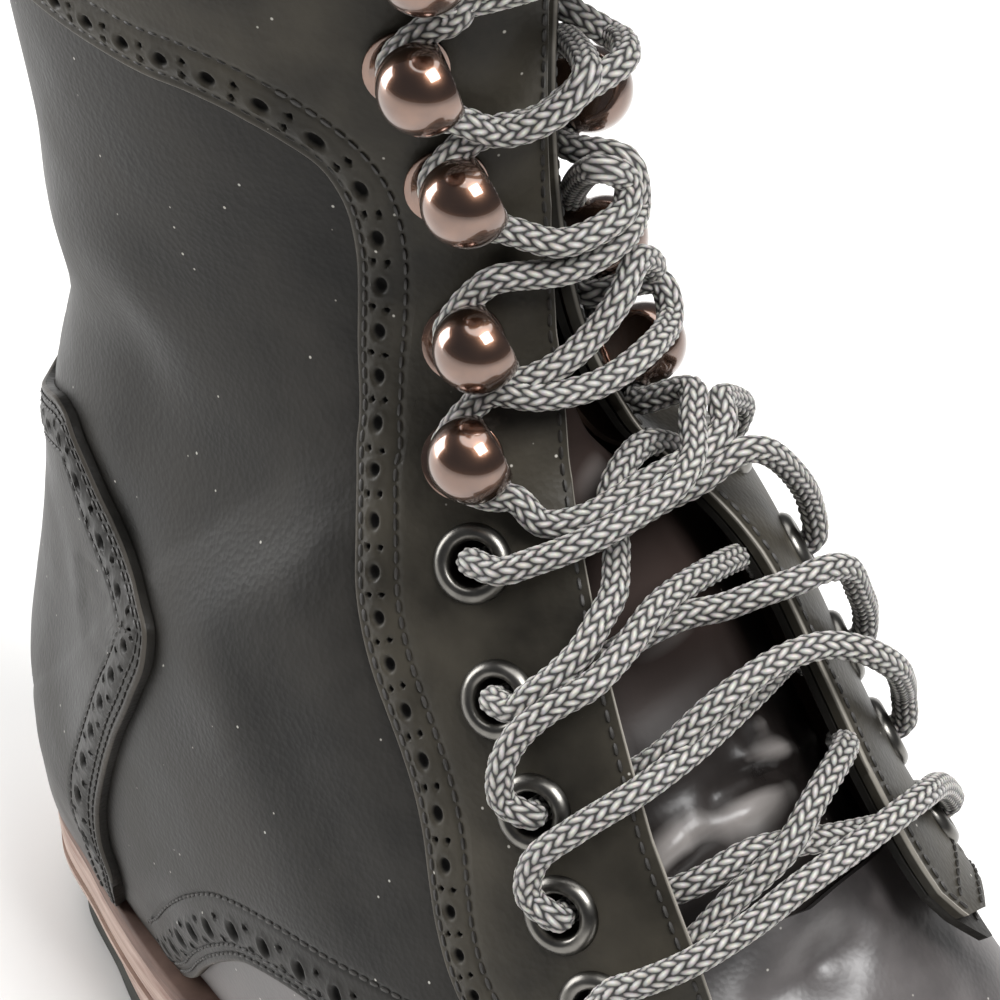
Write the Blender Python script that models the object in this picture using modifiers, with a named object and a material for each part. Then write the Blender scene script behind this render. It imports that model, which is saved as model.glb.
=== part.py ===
"""Lace-up ankle boot with open flaps, a heel counter, swan-neck facings, eyelets and hooks.

Metres, +Z up, toe along +X. A right boot: its outer (lateral) side is at -Y.
The origin lies on the floor under the middle of the heel.
"""
import math

import bmesh
import bpy
import numpy as np
from mathutils import Matrix, Vector
from mathutils.bvhtree import BVHTree

# Driving sizes, in metres
LAST_LENGTH = 0.271
BALL_WIDTH = 0.0925
SHAFT_HEIGHT = 0.2175
HEEL_MIDDLE = 0.029
GAP = 0.0003
LAYER_GAP = 0.0006
BACK_SEAM = 0.0005
UPPER_WALL = 0.0018
QUARTER_WALL = 0.0013
OVERLAY_WALL = 0.0012
TONGUE_WALL = 0.0016
LINING_TUCK = 0.0008
TUCK_WIDTH = 0.008
WELT_THICKNESS = 0.0035
INSOLE_THICKNESS = 0.003
TOP_LIFT_THICKNESS = 0.006
HEEL_TAPER = 0.0015
SOLE_TAPER = 0.0006
FOREFOOT_WEAR = 0.0006
FLAP_LIFT = 0.0065
FLAP_DEPTH = 0.034
LACE_RADIUS = 0.0017
LACE_GAP = 0.0005
EYELET_BORE = 0.0026
EYELET_FLANGE = 0.0047
EYELET_BARREL = 0.0030
EYELET_HOLE = 0.0035
EYELET_CROWN = 0.0012
EYELET_GAP = 0.0005
HOOK_DOME = 0.0054
HOOK_RISE = 0.0052
HOOK_RIM = 0.0041
HOOK_OVERHANG = 0.0020
HOOK_NECK = 0.0022
HOOK_NECK_START = 0.0007
HOOK_FOOT = 0.0028
HOOK_FOOT_HEIGHT = 0.0009
HOOK_GAP = 0.0005
WELD = 0.00005

# Sections of the last, a fan of planes from the toe tip over the instep to the collar.
# Ends in percent of last length and shaft height, half widths and middle in percent of ball width,
# the widest place in percent of the way from the bottom end to the top end. The shaft's inner half is
# flatter than its outer half and runs to a sharper front: its power there is in hundredths.
SECTION_COLUMNS = ("station", "bottom_x", "bottom_z", "top_x", "top_z", "feather", "lateral", "medial",
                   "middle", "lateral_widest", "medial_widest", "medial_power")
SECTIONS = np.array([
    (0.00, 100.0, 9.0, 100.0, 9.4, 1.0, 1.2, 1.2, 13.3, 45, 45, 205),
    (0.40, 98.9, 8.7, 98.2, 16.2, 15.4, 15.9, 15.9, 13.3, 35, 35, 205),
    (0.80, 96.5, 8.2, 95.4, 19.7, 25.6, 26.7, 26.7, 12.3, 33, 33, 205),
    (1.30, 91.9, 7.4, 90.5, 22.5, 35.9, 37.4, 36.4, 10.3, 30, 30, 205),
    (2.00, 84.2, 6.1, 82.1, 24.9, 44.1, 46.7, 44.6, 7.2, 28, 28, 205),
    (3.00, 71.9, 5.0, 71.6, 28.8, 47.7, 51.3, 48.2, 3.1, 28, 28, 205),
    (4.00, 60.4, 5.8, 63.9, 34.9, 43.1, 47.7, 43.6, 1.0, 33, 33, 205),
    (5.00, 48.4, 8.2, 56.8, 43.7, 36.4, 43.1, 40.0, 0.0, 38, 38, 205),
    (6.00, 36.5, 10.9, 50.4, 52.0, 33.8, 41.5, 39.5, 0.0, 42, 42, 205),
    (7.00, 24.6, 12.2, 44.6, 59.4, 33.8, 42.1, 41.0, 0.0, 46, 46, 205),
    (8.00, 12.6, 12.7, 40.7, 65.5, 32.3, 41.0, 40.5, 0.0, 48, 47, 195),
    (8.60, 6.0, 12.8, 39.3, 68.6, 28.2, 39.5, 37.4, 0.0, 47, 44, 175),
    (9.00, 2.3, 13.1, 38.4, 70.7, 19.5, 37.4, 33.4, 0.0, 46, 41, 167),
    (9.25, 0.5, 13.2, 37.8, 72.3, 9.7, 36.1, 30.5, 0.0, 45, 40, 163),
    (9.40, -0.2, 13.5, 37.6, 73.1, 0.0, 35.4, 28.8, 0.0, 45, 39, 161),
    (10.0, -2.0, 25.3, 36.7, 76.9, 0.0, 32.3, 24.0, 0.0, 45, 37, 155),
    (11.0, 1.1, 42.4, 36.1, 81.7, 0.0, 30.8, 20.8, 0.0, 46, 36, 151),
    (12.0, 3.7, 59.4, 35.8, 87.3, 0.0, 32.8, 20.4, 0.0, 47, 36, 149),
    (13.0, 2.1, 75.8, 35.8, 93.7, 0.0, 35.4, 21.2, 0.0, 47, 36, 149),
    (14.0, 0.2, 88.5, 36.1, 100.0, 0.0, 37.9, 22.7, 0.0, 47, 37, 151),
])
BOTTOM_POWER = 2.2
LATERAL_POWER = 2.05
QUADRANT_SAMPLES = 60

# Stations where walls have a row of points, and columns across a half section
ROWS = (0.0, 0.3, 0.8, 1.2, 1.7, 2.3, 3.0, 3.8, 4.8, 5.1, 5.5, 6.0, 6.6, 7.2, 7.8,
        8.3, 8.6, 8.85, 9.05, 9.25, 9.4, 9.7, 10.0, 10.5, 11.2, 12.0, 12.7, 13.4, 14.0)
COLUMNS = 9
SNAP = 0.0012
ROW_CLEARANCE = 0.03
HEEL_BACK = 9.4
COLLAR = 14.0
VAMP_END = 4.8
FLAP_TOP = 8.2
FLAP_FADE = 1.6

# Edges of the panels: station, and millimetres along the section from its top line
THROAT_EDGE = ((4.9, 17.0), (6.0, 15.2), (7.0, 11.9), (8.0, 7.6), (9.0, 4.8), (10.3, 2.8),
               (12.0, 3.2), (14.0, 4.4))
LINING_EDGE = ((4.8, 0.0), (5.1, 22.0), (5.5, 31.5), (6.0, 33.0), (7.2, 30.0), (7.8, 27.0), (8.3, 16.0),
               (8.7, 12.0), (10.3, 10.0), (14.0, 11.0))
TONGUE_EDGE = ((4.2, 16.0), (5.1, 29.0), (6.0, 36.0), (7.8, 31.0), (9.0, 24.0), (14.0, 20.0))
FACING_EDGE = ((5.1, 38.0), (5.5, 45.0), (6.0, 48.4), (6.47, 45.3), (6.9, 41.5), (7.8, 39.9), (8.6, 36.9),
               (9.4, 34.0), (10.3, 29.8), (11.4, 30.0), (11.7, 31.4), (11.95, 36.7), (12.2, 41.8),
               (12.4, 48.7), (12.55, 57.0), (12.73, 65.4), (12.98, 80.8), (13.1, 94.0), (13.25, 115.0),
               (13.4, 140.0), (14.0, 140.0))
# Edges measured in millimetres along the section from its bottom line
QUARTER_EDGE = ((4.95, 84.0), (5.1, 72.0), (5.3, 63.0), (5.6, 55.5), (6.0, 50.5), (6.6, 44.0), (6.88, 37.5),
                (6.98, 31.0), (7.06, 22.0), (7.13, 10.0), (7.2, 0.0))
COUNTER_EDGE = ((7.72, 4.0), (7.8, 9.0), (8.0, 24.0), (8.2, 40.5), (8.4, 59.0), (8.6, 76.0), (8.85, 90.0),
                (9.05, 95.6), (9.25, 98.8), (9.4, 99.8), (9.55, 99.2), (9.7, 96.2), (9.85, 91.0),
                (10.0, 85.0), (10.4, 70.0), (10.9, 52.5), (11.2, 38.0), (11.4, 26.0), (11.6, 10.0),
                (11.68, 4.0))

# Eyelets and hooks, from the lowest: station, and millimetres from the top line
EYELETS = ((5.48, 28.0), (5.93, 27.2), (6.40, 25.2), (6.98, 23.8), (7.80, 21.0))
HOOKS = ((8.65, 14.5), (9.60, 11.2), (11.18, 11.2), (12.33, 15.3), (13.28, 15.6))

# Sole edge beyond the feather line: station, and millimetres
SOLE_EDGE = ((0.0, 5.0), (3.0, 5.0), (4.5, 3.6), (6.0, 2.4), (9.4, 2.4))
SOLE_ROWS = (0.0, 0.12, 0.3, 0.55, 0.9, 1.3, 1.8, 2.4, 2.8, 3.1, 3.5, 4.2, 5.0, 5.8, 6.4, 7.0, 7.6, 8.2,
             8.6, 8.9, 9.1, 9.25, 9.34, 9.4)
INSOLE_ROWS = (0.6, 0.9, 1.3, 1.8, 2.4, 3.1, 4.2, 5.0, 5.8, 6.6, 7.4, 8.2, 8.6, 8.9, 9.1)
INSOLE_INSET = 0.0056
HEEL_BREAST = 7.0

# Finishes: colour, roughness, metallic
FINISHES = {
    "black_leather": ((0.030, 0.029, 0.028), 0.38, 0.0),
    "brown_lining": ((0.040, 0.022, 0.015), 0.7, 0.0),
    "sole_leather": ((0.230, 0.120, 0.080), 0.5, 0.0),
    "welt_leather": ((0.060, 0.030, 0.022), 0.6, 0.0),
    "heel_rubber": ((0.030, 0.028, 0.026), 0.8, 0.0),
    "antique_copper": ((0.300, 0.150, 0.095), 0.2, 1.0),
    "gunmetal": ((0.160, 0.155, 0.150), 0.3, 1.0),
    "grey_cord": ((0.110, 0.108, 0.105), 0.85, 0.0),
}

MM = 0.001


def smooth(table_x, table_y, x):
    """A smooth curve through a table: cubic steps whose slopes are those of the neighbours' chord."""
    slope = np.gradient(table_y, table_x)
    index = np.clip(np.searchsorted(table_x, x) - 1, 0, len(table_x) - 2)
    width = table_x[index + 1] - table_x[index]
    t = (x - table_x[index]) / width
    start = table_y[index] * (1 + 2 * t) * (1 - t) ** 2 + table_y[index + 1] * t * t * (3 - 2 * t)
    return start + width * (slope[index] * t * (1 - t) ** 2 - slope[index + 1] * t * t * (1 - t))


def measure(name, stations, unit):
    """One column of the section table at the given stations, in metres of its driving size."""
    values = SECTIONS[:, SECTION_COLUMNS.index(name)]
    return smooth(SECTIONS[:, 0], values, np.asarray(stations, float)) * unit / 100


def edge(table, stations):
    """A panel's edge at the given stations, in metres."""
    rows = np.array(table)
    return np.interp(stations, rows[:, 0], rows[:, 1]) * MM


def half_sections(stations, side):
    """Half sections of the outer form from bottom to top line, two superellipse quarters each.

    side is -1 for the lateral half and +1 for the medial half.
    """
    name = "lateral" if side < 0 else "medial"
    half = measure(name, stations, BALL_WIDTH)[:, None]
    feather = np.clip(measure("feather", stations, BALL_WIDTH)[:, None], 0, half * 0.995)
    widest = measure(name + "_widest", stations, 1.0)[:, None]
    power = LATERAL_POWER if side < 0 else measure("medial_power", stations, 1.0)[:, None]
    reach = (1 - (feather / half) ** BOTTOM_POWER) ** (1 / BOTTOM_POWER)
    first = np.arccos(np.clip(reach ** (BOTTOM_POWER / 2), 0, 1))
    step = np.linspace(0, 1, QUADRANT_SAMPLES)[None]
    low = first + (math.pi / 2 - first) * step
    high = math.pi / 2 * step[:, 1:]
    rise_low = widest - widest / reach * np.cos(low) ** (2 / BOTTOM_POWER)
    out_low = half * np.sin(low) ** (2 / BOTTOM_POWER)
    rise_high = widest + (1 - widest) * np.sin(high) ** (2 / power)
    out_high = half * np.clip(np.cos(high), 0, 1) ** (2 / power)
    rise = np.concatenate([rise_low, rise_high], axis=1)
    out = np.concatenate([out_low, out_high], axis=1)
    bottom_x = measure("bottom_x", stations, LAST_LENGTH)[:, None]
    bottom_z = measure("bottom_z", stations, SHAFT_HEIGHT)[:, None]
    top_x = measure("top_x", stations, LAST_LENGTH)[:, None]
    top_z = measure("top_z", stations, SHAFT_HEIGHT)[:, None]
    middle = measure("middle", stations, BALL_WIDTH)[:, None]
    x = bottom_x + (top_x - bottom_x) * rise - HEEL_MIDDLE
    return np.stack([x, middle + side * out, bottom_z + (top_z - bottom_z) * rise], axis=2)


def arc_lengths(sections):
    """Length along each half section from its bottom line."""
    steps = np.linalg.norm(np.diff(sections, axis=1), axis=2)
    return np.concatenate([np.zeros((len(sections), 1)), np.cumsum(steps, axis=1)], axis=1)


def section_lengths(stations, side):
    """Whole length of each half section."""
    return arc_lengths(half_sections(np.asarray(stations, float), side))[:, -1]


def outward(stations, side, sections):
    """Outward normals along each half section."""
    small = 0.02
    before = half_sections(np.clip(stations - small, SECTIONS[0, 0], COLLAR), side)
    after = half_sections(np.clip(stations + small, SECTIONS[0, 0], COLLAR), side)
    normal = np.cross(np.gradient(sections, axis=1), after - before) * -side
    return normal / np.maximum(np.linalg.norm(normal, axis=2, keepdims=True), 1e-12)


def on_form(stations, side, from_bottom, offset):
    """Points of a grid on the outer form, moved outwards by offset. from_bottom has a row per station."""
    stations = np.asarray(stations, float)
    sections = half_sections(stations, side)
    normals = outward(stations, side, sections)
    lengths = arc_lengths(sections)
    offset = np.broadcast_to(offset, from_bottom.shape)
    points = np.empty(from_bottom.shape + (3,))
    for row in range(len(stations)):
        place = [np.interp(from_bottom[row], lengths[row], sections[row, :, axis]) for axis in range(3)]
        away = [np.interp(from_bottom[row], lengths[row], normals[row, :, axis]) for axis in range(3)]
        away = np.array(away) / np.linalg.norm(away, axis=0)
        points[row] = (np.array(place) + away * offset[row]).T
    over_sole = stations <= HEEL_BACK
    floor = np.where(over_sole, measure("bottom_z", stations, SHAFT_HEIGHT), 0)
    points[..., 2] = np.maximum(points[..., 2], floor[:, None])
    return points


def lift(stations, from_top):
    """How far the free flap stands off the form: most at its throat edge, below the ankle."""
    stations = np.asarray(stations, float)
    rise = np.clip((FLAP_TOP - stations) / FLAP_FADE, 0, 1)
    rise = rise * rise * (3 - 2 * rise)
    inward = np.clip(1 - (from_top - edge(THROAT_EDGE, stations)[:, None]) / FLAP_DEPTH, 0, 1)
    return FLAP_LIFT * rise[:, None] * inward ** 2


def on_flap(stations, side, from_top, offset):
    """Points on the outer form with the flap's lift, measured from the top line."""
    from_bottom = section_lengths(stations, side)[:, None] - from_top
    return on_form(stations, side, from_bottom, lift(stations, from_top) + offset)


def spaced(count):
    """Shares from 0 to 1, closer together at both ends where the sections are rounder."""
    share = np.linspace(0, 1, count)
    return 0.45 * share + 0.55 * (0.5 - 0.5 * np.cos(math.pi * share))


def rows_between(first, last, extra=()):
    """The wall rows from one station to another, with both ends and the extra rows that lie clear of them."""
    rows = [first, last]
    for station in ROWS + tuple(extra):
        if first < station < last and np.abs(np.array(rows) - station).min() > ROW_CLEARANCE:
            rows.append(station)
    return np.array(sorted(rows))


def crossings(first, last, from_bottom):
    """Stations where a panel's edge passes one of the common columns, on either side."""
    dense = np.linspace(first, last, 500)
    rows = []
    for side in (-1, 1):
        share = from_bottom(dense, side) / section_lengths(dense, side)
        for column in spaced(COLUMNS)[1:-1]:
            rows.extend(dense[np.flatnonzero(np.diff(np.sign(share - column)))])
    return rows


def columns_between(stations, side, low, high):
    """Distances from the bottom line at shares that all layers have in common, held between two edges."""
    low = np.asarray(low)[:, None]
    high = np.asarray(high)[:, None]
    places = np.clip(section_lengths(stations, side)[:, None] * spaced(COLUMNS), low, high)
    places = np.where(places < low + SNAP, low, places)
    return np.where(places > high - SNAP, high, places)


def finish(name):
    """A material of the named finish."""
    colour, roughness, metallic = FINISHES[name]
    material = bpy.data.materials.get(name) or bpy.data.materials.new(name)
    material.use_nodes = True
    shader = material.node_tree.nodes["Principled BSDF"]
    shader.inputs["Base Color"].default_value = (*colour, 1.0)
    shader.inputs["Roughness"].default_value = roughness
    shader.inputs["Metallic"].default_value = metallic
    material.diffuse_color = (*colour, 1.0)
    return material


def add_object(name, mesh, finish_name, collection):
    """An object of the mesh in a collection, with its finish."""
    piece = bpy.data.objects.new(name, mesh)
    collection.objects.link(piece)
    mesh.materials.clear()
    mesh.materials.append(finish(finish_name))
    return piece


def mesh_from(name, form):
    """A mesh from a bmesh, which is freed."""
    mesh = bpy.data.meshes.new(name)
    form.to_mesh(mesh)
    form.free()
    return mesh


def sheet(name, grids):
    """An open surface from grids of points, welded where they meet.

    Each entry holds a grid and its side, which says which way its faces turn.
    """
    form = bmesh.new()
    for grid, side in grids:
        rows, columns = grid.shape[:2]
        vertices = [[form.verts.new(point) for point in row] for row in grid]
        for i in range(rows - 1):
            for j in range(columns - 1):
                corners = [vertices[i][j], vertices[i][j + 1], vertices[i + 1][j + 1], vertices[i + 1][j]]
                form.faces.new(corners if side < 0 else corners[::-1])
    bmesh.ops.remove_doubles(form, verts=form.verts, dist=WELD)
    bmesh.ops.dissolve_degenerate(form, edges=form.edges, dist=WELD / 2)
    return mesh_from(name, form)


def shell(name, grids, thickness, finish_name):
    """A wall: an open outer surface thickened inwards."""
    piece = add_object(name, sheet(name, grids), finish_name, PARTS)
    wall = piece.modifiers.new("wall", "SOLIDIFY")
    wall.thickness = thickness
    wall.offset = -1
    wall.use_quality_normals = True
    return piece


def upper():
    """Vamp and lining in one hollow wall, closed over the toe and open at throat, collar and bottom."""
    def throat(stations, side):
        return section_lengths(stations, side) - np.where(stations > VAMP_END, edge(LINING_EDGE, stations), 0)

    stations = rows_between(0.0, COLLAR, crossings(VAMP_END, COLLAR, throat))
    grids = []
    for side in (-1, 1):
        high = throat(stations, side)
        places = columns_between(stations, side, high * 0, high)
        near_edge = np.clip(1 - (high[:, None] - places) / TUCK_WIDTH, 0, 1) * (stations > VAMP_END)[:, None]
        grid = on_form(stations, side, places, -QUARTER_WALL - LAYER_GAP - LINING_TUCK * near_edge)
        grid[0] = grid[0].mean(axis=0)
        grid[0, :, 1] = measure("middle", [0.0], BALL_WIDTH)
        grid[stations <= VAMP_END, -1, 1] = measure("middle", stations[stations <= VAMP_END], BALL_WIDTH)
        grid[stations >= HEEL_BACK, 0, 1] = 0
        grids.append((grid, side))
    return shell("upper", grids, UPPER_WALL, "black_leather")


def quarter_low(stations, side):
    """Lower edge of a quarter, from the bottom line: a curve above the vamp, then the feather line."""
    return np.where(stations < QUARTER_EDGE[-1][0], edge(QUARTER_EDGE, stations), 0)


def facing_low(stations, side):
    """Rear edge of a facing, from the bottom line. Past the swan neck it is the back seam."""
    return np.maximum(section_lengths(stations, side) - edge(FACING_EDGE, stations), 0)


def quarter(name, side):
    """Side panel from the heel back and collar to the free flap, cut in a curve above the vamp."""
    first = QUARTER_EDGE[0][0]
    stations = rows_between(first, COLLAR, crossings(first, COLLAR, quarter_low))
    whole = section_lengths(stations, side)
    places = columns_between(stations, side, quarter_low(stations, side), whole - edge(THROAT_EDGE, stations))
    grid = on_flap(stations, side, whole[:, None] - places, 0.0)
    grid[stations >= HEEL_BACK, 0, 1] = side * BACK_SEAM
    return shell(name, [(grid, side)], QUARTER_WALL, "black_leather")


def facing(name, side):
    """Facing along the throat that turns into the collar band, on top of the quarter."""
    first = FACING_EDGE[0][0]
    extra = crossings(QUARTER_EDGE[0][0], COLLAR, quarter_low) + crossings(first, COLLAR, facing_low)
    stations = rows_between(first, COLLAR, extra)
    whole = section_lengths(stations, side)
    places = columns_between(stations, side, facing_low(stations, side), whole - edge(THROAT_EDGE, stations))
    grid = on_flap(stations, side, whole[:, None] - places, LAYER_GAP + OVERLAY_WALL)
    at_back = places[:, 0] == 0
    grid[at_back, 0, 1] = side * BACK_SEAM
    return shell(name, [(grid, side)], OVERLAY_WALL, "black_leather")


def heel_counter():
    """Counter round the back of the heel, both sides in one, on top of the quarters."""
    def reach(stations, side):
        return edge(COUNTER_EDGE, stations)

    first, last = COUNTER_EDGE[0][0], COUNTER_EDGE[-1][0]
    stations = rows_between(first, last, crossings(first, last, reach))
    grids = []
    for side in (-1, 1):
        places = columns_between(stations, side, stations * 0, reach(stations, side))
        grid = on_form(stations, side, places, 1.5 * LAYER_GAP + OVERLAY_WALL)
        grid[stations >= HEEL_BACK, 0, 1] = 0
        grids.append((grid, side))
    return shell("heel_counter", grids, OVERLAY_WALL, "black_leather")


def tongue():
    """Tongue under the throat, from beneath the vamp to the collar."""
    def low(stations, side):
        return section_lengths(stations, side) - edge(TONGUE_EDGE, stations)

    stations = rows_between(TONGUE_EDGE[0][0], COLLAR, crossings(TONGUE_EDGE[0][0], COLLAR, low))
    depth = QUARTER_WALL + 2 * LAYER_GAP + UPPER_WALL + LINING_TUCK
    grids = []
    for side in (-1, 1):
        places = columns_between(stations, side, low(stations, side), section_lengths(stations, side))
        grid = on_form(stations, side, places, -depth)
        grid[:, -1, 1] = measure("middle", stations, BALL_WIDTH)
        grids.append((grid, side))
    return shell("tongue", grids, TONGUE_WALL, "black_leather")


def plan_edge(stations, side, beyond):
    """The feather line of one side seen from above, moved outwards by beyond."""
    dense = np.linspace(0, HEEL_BACK, 400)
    x = measure("bottom_x", dense, LAST_LENGTH) - HEEL_MIDDLE
    y = measure("middle", dense, BALL_WIDTH) + side * np.maximum(measure("feather", dense, BALL_WIDTH), 0)
    along = np.stack([np.gradient(x), np.gradient(y)], axis=1)
    along /= np.linalg.norm(along, axis=1, keepdims=True)
    along[-1] = (0, -side)
    out = np.stack([along[:, 1], -along[:, 0]], axis=1) * side
    moved = [np.interp(stations, dense, x), np.interp(stations, dense, y)]
    turned = [np.interp(stations, dense, out[:, 0]), np.interp(stations, dense, out[:, 1])]
    return np.array(moved).T + np.array(turned).T * np.broadcast_to(beyond, len(stations))[:, None]


def plate(name, stations, top, bottom, beyond_top, beyond_bottom, finish_name):
    """A layer of the sole: four-sided sections along the feather line, closed at both ends."""
    form = bmesh.new()
    corners = []
    for side, height, beyond in ((-1, top, beyond_top), (1, top, beyond_top),
                                 (1, bottom, beyond_bottom), (-1, bottom, beyond_bottom)):
        plan = plan_edge(stations, side, beyond)
        corners.append([form.verts.new((x, y, z)) for (x, y), z in zip(plan, height)])
    for row in range(len(stations) - 1):
        for corner in range(4):
            one, two = corners[corner], corners[(corner + 1) % 4]
            form.faces.new((one[row], two[row], two[row + 1], one[row + 1]))
    form.faces.new([corner[0] for corner in corners[::-1]])
    form.faces.new([corner[-1] for corner in corners])
    bmesh.ops.remove_doubles(form, verts=form.verts, dist=WELD)
    bmesh.ops.dissolve_degenerate(form, edges=form.edges, dist=WELD / 2)
    return add_object(name, mesh_from(name, form), finish_name, PARTS)


def sole():
    """Welt, outsole, stacked heel, top lift and insole, one under the other."""
    stations = np.array(SOLE_ROWS)
    feather = measure("bottom_z", stations, SHAFT_HEIGHT)
    beyond = edge(SOLE_EDGE, stations)
    welt_bottom = feather - GAP - WELT_THICKNESS
    plate("welt", stations, feather - GAP, welt_bottom, beyond, beyond, "welt_leather")
    outsole_top = welt_bottom - GAP
    thickness = outsole_top.min() + FOREFOOT_WEAR
    outsole_bottom = np.maximum(outsole_top - thickness, 0)
    plate("outsole", stations, outsole_top, outsole_bottom, beyond, beyond - SOLE_TAPER, "sole_leather")
    heel = stations >= HEEL_BREAST
    level = np.full(heel.sum(), TOP_LIFT_THICKNESS)
    plate("heel_stack", stations[heel], outsole_bottom[heel] - GAP, level + GAP,
          beyond[heel], beyond[heel] - HEEL_TAPER, "sole_leather")
    plate("heel_top_lift", stations[heel], level, level * 0,
          beyond[heel] - HEEL_TAPER, beyond[heel] - HEEL_TAPER, "heel_rubber")
    inner = np.array(INSOLE_ROWS)
    base = measure("bottom_z", inner, SHAFT_HEIGHT)
    plate("insole", inner, base + INSOLE_THICKNESS, base, -INSOLE_INSET, -INSOLE_INSET, "brown_lining")


def seat(station, side, from_top, offset):
    """Where a fitting sits on the facing: its point, the outward direction and the way to the throat."""
    small = 0.0005
    step = 0.02
    reach = np.array([[from_top - small, from_top, from_top + small]])
    here = on_flap([station], side, reach, offset)[0]
    before = on_flap([station - step], side, reach, offset)[0, 1]
    after = on_flap([station + step], side, reach, offset)[0, 1]
    to_throat = Vector(here[0] - here[2]).normalized()
    normal = to_throat.cross(Vector(after - before)).normalized()
    point = Vector(here[1])
    middle = Vector(half_sections(np.array([station]), side)[0].mean(axis=0))
    middle.y = 0
    if normal.dot(point - middle) < 0:
        normal.negate()
    return point, normal, to_throat


def landed(seating, panel):
    """The same seat, moved along its outward direction onto the panel's faces."""
    point, normal, to_throat = seating
    bpy.context.view_layer.update()
    faces = BVHTree.FromObject(panel, bpy.context.evaluated_depsgraph_get())
    hit = faces.ray_cast(point + normal * FLAP_LIFT, -normal)[0]
    return hit, normal, to_throat


def seat_matrix(point, normal, to_throat):
    """Placement with Z along the outward direction and X towards the throat."""
    across = normal.cross(to_throat).normalized()
    turn = Matrix((across.cross(normal), across, normal)).transposed()
    return Matrix.Translation(point) @ turn.to_4x4()


def turned(name, profile, steps):
    """A turned mesh: a closed profile of radius and height swept once round Z by a Screw modifier."""
    form = bmesh.new()
    points = [form.verts.new((radius, 0, height)) for radius, height in profile]
    for index, point in enumerate(points):
        form.edges.new((point, points[(index + 1) % len(points)]))
    source = bpy.data.objects.new(name, mesh_from(name, form))
    PARTS.objects.link(source)
    sweep = source.modifiers.new("turn", "SCREW")
    sweep.steps = steps
    sweep.render_steps = steps
    sweep.use_merge_vertices = True
    sweep.merge_threshold = 0.00001
    mesh = evaluated(source)
    form = bmesh.new()
    form.from_mesh(mesh)
    bmesh.ops.recalc_face_normals(form, faces=form.faces)
    form.to_mesh(mesh)
    form.free()
    return mesh


def evaluated(source):
    """The object's mesh with its modifiers, welded. The object is removed."""
    bpy.context.view_layer.update()
    mesh = bpy.data.meshes.new_from_object(source.evaluated_get(bpy.context.evaluated_depsgraph_get()))
    form = bmesh.new()
    form.from_mesh(mesh)
    bmesh.ops.remove_doubles(form, verts=form.verts, dist=0.00001)
    form.to_mesh(mesh)
    form.free()
    mesh.transform(source.matrix_world)
    bpy.data.objects.remove(source)
    return mesh


def joined(name, meshes, finish_name):
    """One body from several meshes, by Boolean unions."""
    body = add_object(name, meshes[0], finish_name, PARTS)
    for mesh in meshes[1:]:
        tool = bpy.data.objects.new(name + "_tool", mesh)
        CUTTERS.objects.link(tool)
        union = body.modifiers.new("join", "BOOLEAN")
        union.operation = "UNION"
        union.object = tool
        mesh = evaluated(body)
        bpy.data.objects.remove(tool)
        body = add_object(name, mesh, finish_name, PARTS)
    return body


def eyelets(side, side_name, panels):
    """Rolled eyelets through facing and quarter, with the holes that they pass through."""
    depth = OVERLAY_WALL + LAYER_GAP + QUARTER_WALL + GAP
    profile = ((EYELET_BORE, EYELET_CROWN * 0.6), (EYELET_BORE + 0.001, EYELET_CROWN),
               (EYELET_FLANGE, 0.0), (EYELET_BARREL, 0.0), (EYELET_BARREL, -depth), (EYELET_BORE, -depth))
    through = 6 * depth
    facing_panel = panels[-1]
    form = bmesh.new()
    for number, (station, from_top) in enumerate(EYELETS, start=1):
        place = seat_matrix(*landed(seat(station, side, from_top * MM, 0.0), facing_panel))
        bmesh.ops.create_cone(form, cap_ends=True, segments=8, radius1=EYELET_HOLE, radius2=EYELET_HOLE,
                              depth=through, matrix=place)
        ring = add_object(f"eyelet_{side_name}_{number}", turned("ring", profile, 8), "gunmetal", PARTS)
        ring.matrix_world = place @ Matrix.Translation((0, 0, EYELET_GAP))
    holes = bpy.data.objects.new(f"eyelet_holes_{side_name}", mesh_from("eyelet_holes", form))
    CUTTERS.objects.link(holes)
    holes.display_type = "WIRE"
    holes.hide_render = True
    for panel in panels:
        cut = panel.modifiers.new("eyelet holes", "BOOLEAN")
        cut.operation = "DIFFERENCE"
        cut.object = holes


def post(radius, top_radius, height, start, matrix):
    """A six-sided post that stands on start along the matrix's Z."""
    form = bmesh.new()
    bmesh.ops.create_cone(form, cap_ends=True, segments=6, radius1=radius, radius2=top_radius, depth=height,
                          matrix=matrix @ Matrix.Translation((0, 0, start + height / 2)))
    return mesh_from("post", form)


def dome(matrix):
    """A ball cut off flat at its rim, below its middle."""
    form = bmesh.new()
    bmesh.ops.create_uvsphere(form, u_segments=8, v_segments=6, radius=HOOK_DOME)
    everything = form.verts[:] + form.edges[:] + form.faces[:]
    cut = bmesh.ops.bisect_plane(form, geom=everything, plane_co=(0, 0, HOOK_RIM - HOOK_RISE),
                                 plane_no=(0, 0, -1), clear_outer=True)
    rim = [part for part in cut["geom_cut"] if isinstance(part, bmesh.types.BMEdge)]
    bmesh.ops.holes_fill(form, edges=rim)
    bmesh.ops.recalc_face_normals(form, faces=form.faces)
    form.transform(matrix)
    return mesh_from("dome", form)


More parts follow.
